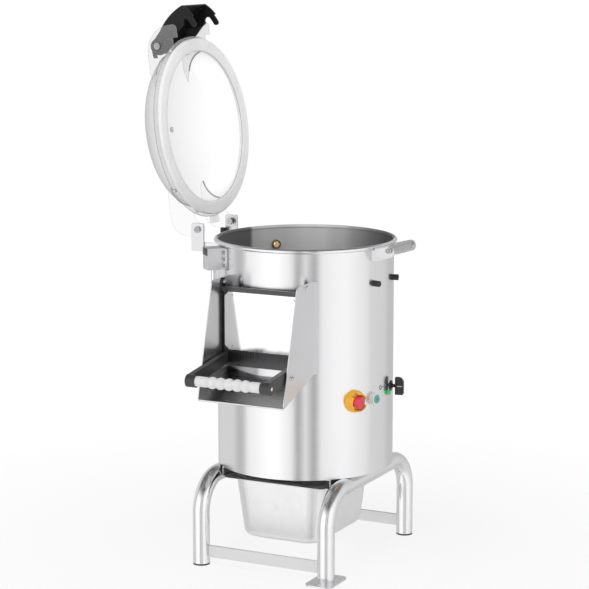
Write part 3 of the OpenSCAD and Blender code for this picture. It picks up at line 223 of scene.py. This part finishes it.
def clear(name, colour, rough, thin, thick, start=0.15):
    """Clear moulded plastic: its haze rises from thin, seen square on, to thick at the edges."""
    material, tree, shader = new_material(name)
    cloud = grain(tree, (12, 12, 12), detail=2.0)
    slant = add(tree, "ShaderNodeLayerWeight", {"Blend": 0.5}).outputs["Facing"]
    feed(tree, shader, {
        "Base Color": tint(tree, cloud, *shades(colour, 0.02)),
        "Roughness": spread(tree, cloud, rough * 0.7, rough * 1.3),
        "Alpha": spread(tree, slant, thin, thick, start, 1.0),
    })
    return material


# Painted shade and painted reflection inside the drum: greys by degrees about its axis, with the seam at 156
# degrees
INSIDE_PAINTED_SHADE = [
    (-180, 0.13), (-160, 0.16), (-140, 0.44), (-20, 0.46), (10, 0.30), (34, 0.07), (50, 0.085), (67, 0.22),
    (82, 0.43), (90, 0.61), (97, 0.66), (104, 0.80), (117, 0.80), (131, 0.63), (145, 0.64), (155, 0.55),
    (156.5, 0.14), (180, 0.13),
]

DRUM = steel("drum_steel", (0.80, 0.80, 0.81), 0.22, (5, 5, 2200), vary=0.03, bump=0.03, streak=0.6)
dull_inside_with_painted_shade(DRUM, INSIDE_PAINTED_SHADE, metal=0.25, rough=0.45)
TUBE = steel("tube_steel", (0.84, 0.84, 0.85), 0.10, (40, 40, 40), vary=0.02, bump=0.01)
CHUTE = steel("chute_steel", (0.74, 0.74, 0.75), 0.2, (1800, 1800, 6), vary=0.03, bump=0.02)
satin_outside(CHUTE, inside=0.28, outside=0.42)
LEVEL = steel("level_steel", (0.72, 0.72, 0.73), 0.27, (6, 1800, 1800), vary=0.03, bump=0.02)
BAR = steel("bar_steel", (0.52, 0.52, 0.53), 0.13, (40, 40, 40), vary=0.02, bump=0.01)
PAN = steel("pan_steel", (0.84, 0.84, 0.84), 0.46, (60, 60, 60), vary=0.03, bump=0.03, edge=0.002)
BRIGHT = steel("bright_steel", (0.80, 0.80, 0.81), 0.16, (120, 120, 120), vary=0.03, bump=0.02, edge=0.0005)
BRACKET = steel("bracket_steel", (0.67, 0.67, 0.68), 0.32, (900, 900, 900), vary=0.04, bump=0.04)
SCREW = steel("screw_steel", (0.42, 0.42, 0.43), 0.26, (120, 120, 120), vary=0.05, bump=0.02, edge=0.0004)
BAND = steel("band_steel", (0.66, 0.66, 0.66), 0.42, (6, 900, 900), vary=0.03, bump=0.03)
FACE = steel("face_plate", (0.93, 0.93, 0.93), 0.12, (700, 700, 700), vary=0.01, bump=0.01)
DOOR = steel("door_steel", (0.085, 0.085, 0.088), 0.24, (900, 900, 6), vary=0.05, bump=0.03)
BRASS = steel("brass", (0.62, 0.42, 0.14), 0.22, (200, 200, 200), vary=0.10, bump=0.08)
CAST = plastic("cast_paint", (0.10, 0.11, 0.12), 0.55, size=500, bump=0.3)
BLACK = plastic("black_plastic", (0.014, 0.014, 0.015), 0.36, size=1200, edge=0.0016)
HANDLE = plastic("handle_plastic", (0.009, 0.009, 0.010), 0.42, size=1200, bump=0.10, edge=0.0016, shine=0.22)
CHARCOAL = plastic("charcoal_plastic", (0.040, 0.040, 0.042), 0.40, size=1000, edge=0.0016)
RUBBER = plastic("black_rubber", (0.02, 0.02, 0.02), 0.60, size=1400, bump=0.25)
WHITE = plastic("white_plastic", (0.76, 0.76, 0.755), 0.26, vary=0.02, bump=0.06)
YELLOW = plastic("yellow_plastic", (0.90, 0.46, 0.02), 0.30, vary=0.05, coat=0.3)
RED = plastic("red_plastic", (0.74, 0.03, 0.06), 0.25, vary=0.06, coat=0.4)
TEAL = plastic("teal_plastic", (0.10, 0.46, 0.38), 0.28, vary=0.05, coat=0.4)
TEAL_DARK = plastic("teal_inset", (0.05, 0.30, 0.25), 0.30, vary=0.05, coat=0.4)
GREEN = plastic("green_lens", (0.03, 0.62, 0.12), 0.15, vary=0.10, bump=0.03, coat=0.6)
GRIT = plastic("abrasive", (0.20, 0.19, 0.18), 0.85, size=700, vary=0.35, bump=0.9)
CLEAR = clear("clear_plastic", (0.46, 0.46, 0.47), 0.06, thin=0.006, thick=0.85, start=0.3)
FLANGE = clear("flange_plastic", (0.72, 0.72, 0.73), 0.10, thin=0.08, thick=0.55)
LUG = clear("lug_plastic", (0.55, 0.55, 0.56), 0.06, thin=0.16, thick=0.60, start=0.3)
FAINT = clear("faint_plastic", (0.60, 0.60, 0.61), 0.06, thin=0.04, thick=0.55, start=0.3)
SEAL = clear("seal_plastic", (0.97, 0.97, 0.97), 0.30, thin=0.62, thick=0.90)
# Dark grey clear plastic: the lug beads and the plug, and the painted shade lines along the lid's clear edges
EDGE = clear("edge_plastic", (0.30, 0.30, 0.31), 0.20, thin=0.55, thick=0.80)

looks = {
    DRUM: "drum_shell",
    TUBE: "left_leg_hoop right_leg_hoop",
    BAR: "latch_bar",
    CHUTE: "chute_sides",
    BRACKET: "hinge_plates switch_housing latch_brackets",
    LEVEL: "chute_floor door_collar hinge_bracket chamber_floor floor_plates base_plate",
    PAN: "peel_pan",
    BRIGHT: "base_bolts shaft_bearings drive_shaft motor_shaft door_hinge_screws door_catches door_face_screws"
            " grip_rod switch_conduit lid_bolts",
    SCREW: "hinge_pins latch_pins",
    CAST: "bearing_housing shaft_pulley motor_body motor_pulley",
    BAND: "crossbars pan_rails motor_hanger",
    FACE: "door_face_plate",
    DOOR: "door_panel",
    HANDLE: "latch_handle",
    BLACK: "timer_knob timer_dial cable_gland",
    CHARCOAL: "leg_end_caps door_arms switch_blocks estop_stem",
    RUBBER: "shaft_seal drive_belt door_gasket rubber_bumpers",
    WHITE: "door_grip start_bezel",
    YELLOW: "estop_collar",
    RED: "estop_head",
    TEAL: "start_cap",
    GREEN: "lamp_lens",
    BRASS: "water_inlet",
    GRIT: "peeling_disc",
    CLEAR: "lid_dome",
    LUG: "latch_lugs",
    FAINT: "hinge_lugs",
    SEAL: "lid_seal",
}
for material, names in looks.items():
    for name in names.split():
        mesh = nodes[name].data
        mesh.materials.clear()
        mesh.materials.append(material)


# Trim: helpers that build meshes and places

def mesh_object(name, bm, material):
    """A new object with the mesh that bm holds."""
    mesh = bpy.data.meshes.new(name)
    bm.to_mesh(mesh)
    bm.free()
    mesh.materials.append(material)
    obj = bpy.data.objects.new(name, mesh)
    bpy.context.scene.collection.objects.link(obj)
    return obj


def piece(name, bm, material, body, place=Matrix(), hides=None, crease=35):
    """A new object that rides on a body, smooth but for edges sharper than the crease angle."""
    bmesh.ops.recalc_face_normals(bm, faces=bm.faces)
    bm.transform(place)
    obj = mesh_object(name, bm, material)
    obj.data.polygons.foreach_set("use_smooth", [True] * len(obj.data.polygons))
    obj.data.set_sharp_from_angle(angle=math.radians(crease))
    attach(obj, body)
    if hides:
        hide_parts(hides)


def evenly(start, end, steps):
    """Values from start to end in equal steps."""
    return [start + (end - start) * i / steps for i in range(steps + 1)]


def arc(centre, radius, start, end, steps=10):
    """Points of an arc in a profile's plane, angles in degrees."""
    turns = [math.radians(a) for a in evenly(start, end, steps)]
    return [(centre[0] + radius * math.cos(a), centre[1] + radius * math.sin(a)) for a in turns]


def lathe(profile, steps=128, loop=False):
    """A surface of revolution about z from points (radius, height); a loop joins its last point to its first."""
    bm = bmesh.new()
    rings = []
    for radius, height in profile:
        count = steps if radius > 1e-6 else 1
        turns = [2 * math.pi * i / steps for i in range(count)]
        rings.append([bm.verts.new((radius * math.cos(a), radius * math.sin(a), height)) for a in turns])
    pairs = list(zip(rings, rings[1:])) + ([(rings[-1], rings[0])] if loop else [])
    for low, high in pairs:
        for i in range(steps):
            j = (i + 1) % steps
            corners = [low[i % len(low)], low[j % len(low)], high[j % len(high)], high[i % len(high)]]
            bm.faces.new(dict.fromkeys(corners))
    return bm


def ring_bar(radius, height, thick, steps=128, sides=10):
    """A round bar bent into a ring about z."""
    return lathe(arc((radius, height), thick, 0, 360 - 360 / sides, sides - 1), steps, loop=True)


def bar(points, thick, across, sides=10):
    """A round bar along points; across is a direction square to all of its stretches."""
    bm = bmesh.new()
    turns = [2 * math.pi * i / sides for i in range(sides)]
    rings = []
    for k, point in enumerate(points):
        along = (points[min(k + 1, len(points) - 1)] - points[max(k - 1, 0)]).normalized()
        up = along.cross(across)
        rings.append([bm.verts.new(point + thick * (math.cos(a) * across + math.sin(a) * up)) for a in turns])
    for low, high in zip(rings, rings[1:]):
        for i in range(sides):
            j = (i + 1) % sides
            bm.faces.new((low[i], low[j], high[j], high[i]))
    bm.faces.new(rings[0])
    bm.faces.new(rings[-1])
    return bm


def block(size, edge):
    """A box about the origin with rounded edges."""
    bm = bmesh.new()
    bmesh.ops.create_cube(bm, size=1.0)
    bmesh.ops.scale(bm, vec=size, verts=bm.verts)
    bmesh.ops.bevel(bm, geom=bm.edges[:], offset=edge, segments=2, affect="EDGES", profile=0.5)
    return bm


def swept(profile, start, end, steps=16):
    """Part of a ring about z: a closed profile of (radius, height) turned from start to end, in degrees."""
    bm = bmesh.new()
    turns = [math.radians(a) for a in evenly(start, end, steps)]
    rings = [[bm.verts.new((r * math.cos(a), r * math.sin(a), z)) for r, z in profile] for a in turns]
    for low, high in zip(rings, rings[1:]):
        for i in range(len(profile)):
            bm.faces.new((low[i - 1], low[i], high[i], high[i - 1]))
    bm.faces.new(rings[0])
    bm.faces.new(rings[-1])
    return bm


def prism(outline, low, high, edge=0.0):
    """A straight-sided solid from a flat outline, with rounded edges where edge is set."""
    bm = bmesh.new()
    floor, roof = ([bm.verts.new((x, y, z)) for x, y in outline] for z in (low, high))
    bm.faces.new(floor)
    bm.faces.new(roof)
    for i, corner in enumerate(floor):
        bm.faces.new((floor[i - 1], corner, roof[i], roof[i - 1]))
    if edge:
        bmesh.ops.recalc_face_normals(bm, faces=bm.faces)
        sharp = [e for e in bm.edges if e.calc_face_angle() > math.radians(40)]
        bmesh.ops.bevel(bm, geom=sharp, offset=edge, segments=2, affect="EDGES", profile=0.5)
    return bm


def joined(parts):
    """Several meshes as one."""
    whole = bmesh.new()
    for bm in parts:
        mesh = bpy.data.meshes.new("part")
        bm.to_mesh(mesh)
        bm.free()
        whole.from_mesh(mesh)
        bpy.data.meshes.remove(mesh)
    return whole


# Stands a flat outline up: its y becomes height, and its depth runs along y
UPRIGHT = Matrix(((1, 0, 0, 0), (0, 0, 1, 0), (0, 1, 0, 0), (0, 0, 0, 1)))


def facing(x, y, z, way):
    """A place whose +z points along one of the frame's axes: +x, -x, +y or -y."""
    angle, axis = {
        "+x": (math.pi / 2, "Y"), "-x": (-math.pi / 2, "Y"), "+y": (-math.pi / 2, "X"), "-y": (math.pi / 2, "X"),
    }[way]
    return Matrix.Translation((x, y, z)) @ Matrix.Rotation(angle, 4, axis)


def pair_x(out, y, z):
    """Two places that face away from each other along x."""
    return [facing(out, y, z, "+x"), facing(-out, y, z, "-x")]


def pair_y(x, out, z):
    """Two places that face away from each other along y."""
    return [facing(x, out, z, "+y"), facing(x, -out, z, "-y")]


def on_drum(angle, height, out=0.0, along=0.0):
    """A place on the drum's wall whose +z points outwards, +x down and +y round the drum; angle in degrees."""
    turn = Matrix.Rotation(math.radians(angle), 4, "Z")
    return turn @ facing(DRUM_R + out, along, height, "+x")


def screws(name, places, radius, height, material, body):
    """Domed screw heads with a round hollow for the key, as one piece."""
    hollow, deep, brim = 0.45 * radius, 0.35 * height, 0.35 * height
    profile = [(0, deep), (hollow, deep), (hollow, height)]
    profile += [
        (hollow + (radius - hollow) * math.sin(a), brim + (height - brim) * math.cos(a))
        for a in (math.radians(15 * i) for i in range(1, 7))
    ]
    profile += [(radius, 0)]
    heads = [lathe(profile, steps=24) for _ in places]
    for head, place in zip(heads, places):
        head.transform(place)
    piece(name, joined(heads), material, body)


# Trim: the clear lid with its latch, stop and switch

OPEN = math.radians(joints["lid_hinge"]["range_deg"][1])
LID = (Matrix.Translation(joints["lid_hinge"]["pos_m"]) @ Matrix.Rotation(-OPEN, 4, "Y")
       @ Matrix.Translation((LID_REACH, 0, -HINGE_RISE)))
CROWN_R = (DOME_R ** 2 - 2 * DOME_R * SHOULDER_R + DOME_RISE ** 2) / (2 * (DOME_RISE - SHOULDER_R))
CROWN_TOP = DOME_WALL_UP + DOME_RISE
CROWN_Z = CROWN_TOP - CROWN_R
SHOULDER_IN = DOME_R - SHOULDER_R
LEAN = math.degrees(math.atan2(DOME_WALL_UP - CROWN_Z, SHOULDER_IN))


def dome_reach(height, y):
    """How far the dome reaches from the lid's middle at a height above the seal's face, y to the side."""
    if height < DOME_WALL_UP:
        radius = DOME_R
    elif height < DOME_WALL_UP + SHOULDER_R * math.sin(math.radians(LEAN)):
        radius = SHOULDER_IN + math.sqrt(SHOULDER_R ** 2 - (height - DOME_WALL_UP) ** 2)
    else:
        radius = math.sqrt(CROWN_R ** 2 - (height - CROWN_Z) ** 2)
    return math.sqrt(radius ** 2 - y ** 2)


def make_lid():
    """Dome with its flange, seal ring, painted shade lines along its clear edges, the beads that join the lugs to
    the dome, and a plug.
    """
    dome = [(DOME_R, FLANGE_TOP)]
    dome += arc((SHOULDER_IN, DOME_WALL_UP), SHOULDER_R, 0, LEAN, 16)
    dome += arc((0, CROWN_Z), CROWN_R, LEAN, 90, 24)[1:-1] + [(0, CROWN_TOP)]
    piece("lid_crown", lathe(dome), CLEAR, "lid", LID, hides="lid_dome", crease=60)

    inner, edge = DOME_R - DOME_T, 0.002
    flange = [(inner, FLANGE_TOP), (inner, FLANGE_LOW)]
    flange += arc((FLANGE_R - edge, FLANGE_LOW + edge), edge, -90, 0, 4)
    flange += arc((FLANGE_R - edge, FLANGE_TOP - edge), edge, 0, 90, 4)
    piece("lid_flange", lathe(flange, loop=True), FLANGE, "lid", LID)

    soft = 0.0035
    seal = [(WINDOW_R, FLANGE_LOW - GAP)]
    seal += arc((WINDOW_R + soft, soft), soft, 180, 270, 5)
    seal += arc((SEAL_R - soft, soft), soft, 270, 360, 5)
    seal += [(SEAL_R, FLANGE_LOW - GAP)]
    piece("lid_seal_ring", lathe(seal, loop=True), SEAL, "lid", LID, hides="lid_seal")

    # Painted shade: dark lines along the seal's inner edge and the flange's rim, lying partly in the edges that
    # they follow
    window_in, window_thick = 0.0006, 0.0009
    flange_in, flange_down, flange_thick = 0.0004, 0.001, 0.0006
    window_shade_line = ring_bar(WINDOW_R + window_in, soft, window_thick)
    piece("lid_window_shade_line", window_shade_line, EDGE, "lid", LID)
    flange_shade_line = ring_bar(FLANGE_R - flange_in, FLANGE_TOP - flange_down, flange_thick)
    piece("lid_flange_shade_line", flange_shade_line, EDGE, "lid", LID)

    bead_low, bead_high, bead_thick = FLANGE_TOP + 0.001, 0.075, 0.0018
    heights = evenly(bead_low, bead_high, 18)
    beads = []
    for side in (-1, 1):
        for y in (-LUG_MID, LUG_MID):
            line = [Vector((side * dome_reach(h, y), y, h)) for h in heights]
            beads.append(bar(line, bead_thick, Vector((0, 1, 0))))
    piece("lug_beads", joined(beads), EDGE, "lid", LID)

    plug = [(0, 0.0022), (0.005, 0.0022), (0.0068, 0.001), (0.007, -0.0005)]
    plug = [(radius, CROWN_TOP + up) for radius, up in plug]
    piece("lid_plug", lathe(plug, steps=32), EDGE, "lid", LID)


def make_latch_lugs():
    """The latch's clear lugs as photographed: a flat foot, a round brow and a back along the dome."""
    foot, under, corner = FLANGE_TOP + GAP, 0.005, 0.012
    brow, brow_r, brow_start, brow_end = (0.184, 0.025), 0.0655, 4, 0.141
    back, half = 0.0815, 0.002
    nose = brow[0] + brow_r - corner
    outline = [(FLANGE_R + GAP, foot), (FLANGE_R + GAP, under)]
    outline += arc((nose, under + corner), corner, -90, 0)
    outline += arc(brow, brow_r, brow_start, 90, 16) + [(brow_end, brow[1] + brow_r)]
    outline += [(dome_reach(h, LUG_MID - half) + GAP, h) for h in evenly(back, foot, 20)]
    plates = [prism(outline, side * LUG_MID - half, side * LUG_MID + half) for side in (-1, 1)]
    piece("latch_lug_plates", joined(plates), LUG, "lid", LID @ UPRIGHT, hides="latch_lugs")


def make_handle_heel():
    """The lower edge of the handle's back between its cheeks; it clears the dome at every latch angle."""
    centre, inner, outer, start, end = (-0.0114, -0.0402), 0.0552, 0.0598, 76, 98
    half, edge = 0.0699, 0.0006
    outline = arc(centre, outer, start, end) + arc(centre, inner, end, start)
    place = LID @ Matrix.Translation((LATCH_X, 0, LATCH_Z)) @ UPRIGHT
    piece("handle_heel", prism(outline, -half, half, edge), HANDLE, "lid_handle", place)


def make_switch():
    """The lid switch's box, deeper and narrower than its solid, with a black insert and the bolts on its tab."""
    turn = Matrix.Rotation(math.radians(SWITCH_ANGLE), 4, "Z")
    out, near, far, low, high, edge = 0.252, 0.025, -0.010, 0.7015, 0.7535, 0.0010
    tab, tab_out = 0.039, 0.214
    outline = [(math.sqrt((DRUM_R + GAP) ** 2 - t ** 2), t) for t in evenly(far, tab, 12)]
    outline += [(tab_out, tab), (tab_out, near), (out, near), (out, far)]
    piece("switch_cover", prism(outline, low, high, edge), BRACKET, "frame", turn, hides="switch_housing")

    deep, tall, margin, proud = 0.0012, 0.017, 0.001, 0.0004
    insert = block((deep, near - far - 2 * margin, tall), edge=0.0004)
    middle = Vector((out + proud, (near + far) / 2, high - margin - tall / 2))
    piece("switch_insert", insert, BLACK, "frame", turn @ Matrix.Translation(middle))

    bolt_along, bolt_heights = 0.0345, (0.712, 0.7275, 0.743)
    places = [turn @ facing(tab_out, bolt_along, z, "+x") for z in bolt_heights]
    screws("switch_bolts", places, 0.0045, 0.0030, SCREW, "frame")


def make_lid_stop():
    """The rubber pad on the lid's stop, and the clear tongue on the flange between the hinge lugs."""
    pad_size, pad_at = (0.012, 0.0085, 0.0147), (-0.262, 0.07225, 0.75465)
    piece("lid_stop_pad", block(pad_size, edge=0.0012), RUBBER, "frame", Matrix.Translation(pad_at))
    tongue_size, tongue_at = (0.0166, 0.038, 0.007), (-0.2254, 0.005, 0.0135)
    piece("lid_tongue", block(tongue_size, edge=0.002), FLANGE, "lid", LID @ Matrix.Translation(tongue_at))


# Trim: the controls and the small screws

def make_dial_marks():
    """The zero beside the timer's dial with its line, and the pointer on the knob."""
    zero_r, ink_r, oval, zero_out = 0.0040, 0.0008, (1.2, 1.0, 0.5), 0.0002
    zero = ring_bar(zero_r, 0, ink_r, steps=40)
    bmesh.ops.scale(zero, vec=oval, verts=zero.verts)
    piece("zero_mark", zero, CHARCOAL, "frame", on_drum(*ZERO, zero_out))

    inner, outer, half = DRUM_R - 0.0002, DRUM_R + 0.0004, 0.0006
    start, end, height = -4.4, 6.6, 0.4252
    ink = [(inner, -half), (outer, -half), (outer, half), (inner, half)]
    piece("zero_line", swept(ink, start, end), CHARCOAL, "frame", Matrix.Translation((0, 0, height)))

    size, out, along = (0.0018, 0.0004, 0.012), 0.022, -0.0061
    piece("knob_pointer", block(size, edge=0.0001), WHITE, "timer", on_drum(*TIMER, out, along))


def make_buttons():
    """The stop's red head, with three lobes and a bore for its stem, its crown, and the start button's inset."""
    bore = [(0, 0.0205), (0.0084, 0.0205), (0.0084, 0.0138)]
    outside = [
        (0.0142, 0.0138), (0.0152, 0.0148), (0.0152, 0.0222), (0.0146, 0.0238), (0.0132, 0.0248), (0, 0.0250),
    ]
    bore_limit, lobes, lobe_share, first_lobe = 0.009, 3, 0.10, math.radians(15)
    head = lathe(bore + outside, steps=72)
    for vert in head.verts:
        if vert.co.xy.length > bore_limit:
            turn = math.atan2(vert.co.y, vert.co.x) - first_lobe
            vert.co.xy *= 1 + lobe_share * math.cos(lobes * turn)
    piece("stop_mushroom", head, RED, "stop_head", on_drum(*STOP), hides="estop_head")

    crown, crown_out = [(0, 0.0016), (0.006, 0.0014), (0.0095, 0.0008), (0.0105, 0)], 0.025
    piece("stop_crown", lathe(crown, steps=48), RED, "stop_head", on_drum(*STOP, crown_out))
    inset, inset_out = [(0, 0.0006), (0.0050, 0.0006), (0.0056, 0)], 0.013
    piece("start_inset", lathe(inset, steps=40), TEAL_DARK, "start_button", on_drum(*START, inset_out))


def make_timer():
    """The timer's thin dial, and its knob: an upright wing with a round top corner, on a waisted stem."""
    dial = [(0, 0.0024), (0.0118, 0.0022), (0.0125, 0.0014), (0.0125, -0.0010)]
    piece("dial_plate", lathe(dial, steps=64), BLACK, "frame", on_drum(*TIMER), hides="timer_dial")

    half, foot, out, thick, top_r, low_r, edge = 0.021, 0.011, 0.031, 0.012, 0.013, 0.003, 0.0010
    outline = [(-half, foot)] + arc((-half + top_r, out - top_r), top_r, 180, 90)
    outline += arc((half - low_r, out - low_r), low_r, 90, 0, 4) + [(half, foot)]
    wing = prism(outline, -thick / 2, thick / 2, edge)
    wing.transform(UPRIGHT)
    stem = [
        (0, 0.0028), (0.0066, 0.0028), (0.0062, 0.0042), (0.0040, 0.0056), (0.0038, 0.0084), (0.0056, 0.0112),
        (0, 0.0114),
    ]
    knob = joined([wing, lathe(stem, steps=40)])
    piece("timer_grip", knob, BLACK, "timer", on_drum(*TIMER), hides="timer_knob")


def make_stop_guard():
    """The stop button's yellow guard: a round base and three walls with gaps that show the red head."""
    base = [
        (0.0085, -0.0010), (0.0265, -0.0016), (0.0265, 0.0040), (0.0258, 0.0062), (0.0240, 0.0080),
        (0.0220, 0.0090), (0.0085, 0.0094),
    ]
    wall = [
        (0.0180, 0.0088), (0.0232, 0.0082), (0.0226, 0.0180), (0.0218, 0.0222), (0.0200, 0.0232),
        (0.0184, 0.0220),
    ]
    middles, half_turn = (30, 150, 270), 38
    parts = [lathe(base, steps=96, loop=True)]
    parts += [swept(wall, middle - half_turn, middle + half_turn) for middle in middles]
    piece("stop_guard", joined(parts), YELLOW, "frame", on_drum(*STOP), hides="estop_collar")


def make_screws():
    """Heads of small screws in pairs: at the door's pivot, catches and grip, the hinge, the bar and the latch."""
    door, hinge = joints["door_swing"]["pos_m"], joints["lid_hinge"]["pos_m"]
    door_out, hinge_out, latch_out = 0.1125, 0.091, 0.0855
    catch, grip, bar_end = (0.1160, -0.289, 0.487), (0.1068, -0.385, 0.481), (0.245, 0.069, 0.757)
    latch = [LID @ place for place in pair_y(LATCH_X, latch_out, LATCH_Z)]
    screws("chute_screws", pair_x(door_out, door[1], door[2]), 0.0050, 0.0014, BRIGHT, "frame")
    screws("catch_screws", pair_x(*catch), 0.0034, 0.0010, BRIGHT, "frame")
    screws("grip_screws", pair_x(*grip), 0.0046, 0.0018, BRIGHT, "door")
    screws("hinge_screws", pair_y(hinge[0], hinge_out, hinge[2]), 0.0046, 0.0016, SCREW, "frame")
    screws("bar_screws", pair_y(*bar_end), 0.0056, 0.0026, SCREW, "frame")
    screws("latch_screws", latch, 0.0050, 0.0018, SCREW, "lid")


# Stage: a pale floor that fades out, soft light and a white background

# Brightness of the room round the object, by degrees to the right of the camera, as the bands on the drum show it
ROOM = [
    (-180, 0.58), (-165, 0.64), (-142, 0.77), (-110, 0.80), (-98, 0.56), (-91, 0.58), (-80, 1.10), (-42, 1.32),
    (-19, 1.08), (-10, 0.36), (-5, 0.66), (0, 1.08), (5, 0.66), (11, 0.36), (20, 1.06), (50, 1.16), (80, 1.00),
    (96, 0.80), (118, 0.77), (145, 0.60), (170, 0.58), (180, 0.58),
]


def direction(turn, lift):
    """A direction seen from the object: turn to the right of the camera, lift above the floor, in degrees."""
    angle, lift = math.radians(AZIMUTH + turn), math.radians(lift)
    return Vector((math.sin(angle) * math.cos(lift), -math.cos(angle) * math.cos(lift), math.sin(lift)))


def make_floor():
    """A round sheet of pale paper that fades out before its edge."""
    radius, fade_start, fade_end, strength = 3.0, 0.4, 1.3, 0.16
    material, tree, shader = new_material("floor_paper")
    where = add(tree, "ShaderNodeTexCoord").outputs["Object"]
    far = add(tree, "ShaderNodeVectorMath", {0: where}, operation="LENGTH").outputs["Value"]
    feed(tree, shader, {
        "Base Color": tint(tree, grain(tree, (3, 3, 3)), (0.93, 0.93, 0.93), (0.95, 0.95, 0.95)),
        "Roughness": 0.6,
        "Alpha": spread(tree, far, strength, 0.0, fade_start, fade_end),
    })
    bm = bmesh.new()
    bmesh.ops.create_circle(bm, cap_ends=True, segments=96, radius=radius)
    floor = mesh_object("floor", bm, material)


def make_world():
    """White for the camera and through clear pieces; the room's soft bands for what the object mirrors."""
    world = bpy.data.worlds.new("studio")
    bpy.context.scene.world = world
    world.use_nodes = True
    tree = world.node_tree
    tree.nodes.clear()
    where = add(tree, "ShaderNodeTexCoord").outputs["Generated"]
    right, back, up = (
        add(tree, "ShaderNodeVectorMath", {0: where, 1: way}, operation="DOT_PRODUCT").outputs["Value"]
        for way in (direction(90, 0), direction(0, 0), Vector((0, 0, 1)))
    )
    # The ceiling is dim, so that the chute's floor mirrors something dark
    ceiling = spread(tree, up, 1.0, 0.22, 0.45, 0.75)
    room = {"Color": turn_bands(tree, right, back, ROOM, easing="EASE"), "Strength": ceiling}
    path = add(tree, "ShaderNodeLightPath").outputs
    rays = {0: path["Is Camera Ray"], 1: path["Is Transmission Ray"]}
    mix = add(tree, "ShaderNodeMixShader", {
        "Fac": add(tree, "ShaderNodeMath", rays, operation="MAXIMUM").outputs["Value"],
        1: add(tree, "ShaderNodeBackground", room).outputs["Background"],
        2: add(tree, "ShaderNodeBackground", {"Color": (1, 1, 1, 1)}).outputs["Background"],
    })
    add(tree, "ShaderNodeOutputWorld", {"Surface": mix.outputs["Shader"]})


def make_light():
    """A large soft lamp above, aimed at the middle of the drum and not mirrored by the steel."""
    turn, lift, distance, aim_z = -20, 65, 3.5, 0.6
    data = bpy.data.lights.new("top", "AREA")
    data.shape = "DISK"
    data.size = 2.5
    data.energy = 55
    light = bpy.data.objects.new("top", data)
    light.location = direction(turn, lift) * distance + Vector((0, 0, aim_z))
    light.visible_glossy = False
    light.rotation_euler = direction(turn, lift).to_track_quat("Z", "Y").to_euler()
    bpy.context.scene.collection.objects.link(light)


def make_camera():
    """The photograph's camera."""
    data = bpy.data.cameras.new("photo_camera")
    data.sensor_width = SENSOR_MM
    data.sensor_fit = "HORIZONTAL"
    data.lens = FOCAL_PX * SENSOR_MM / IMAGE_PX
    data.clip_end = FARTHEST
    camera = bpy.data.objects.new("photo_camera", data)
    right, back = direction(90, 0), direction(0, ELEVATION)
    up = back.cross(right)
    eye = right * TARGET_RIGHT + Vector((0, 0, TARGET_UP)) + back * DISTANCE
    camera.matrix_world = Matrix.Translation(eye) @ Matrix((right, up, back)).transposed().to_4x4()
    bpy.context.scene.collection.objects.link(camera)
    bpy.context.scene.camera = camera


make_lid()
make_latch_lugs()
make_handle_heel()
make_switch()
make_lid_stop()
make_dial_marks()
make_buttons()
make_timer()
make_stop_guard()
make_screws()
make_floor()
make_world()
make_light()
make_camera()
bpy.context.scene.view_settings.view_transform = "Standard"
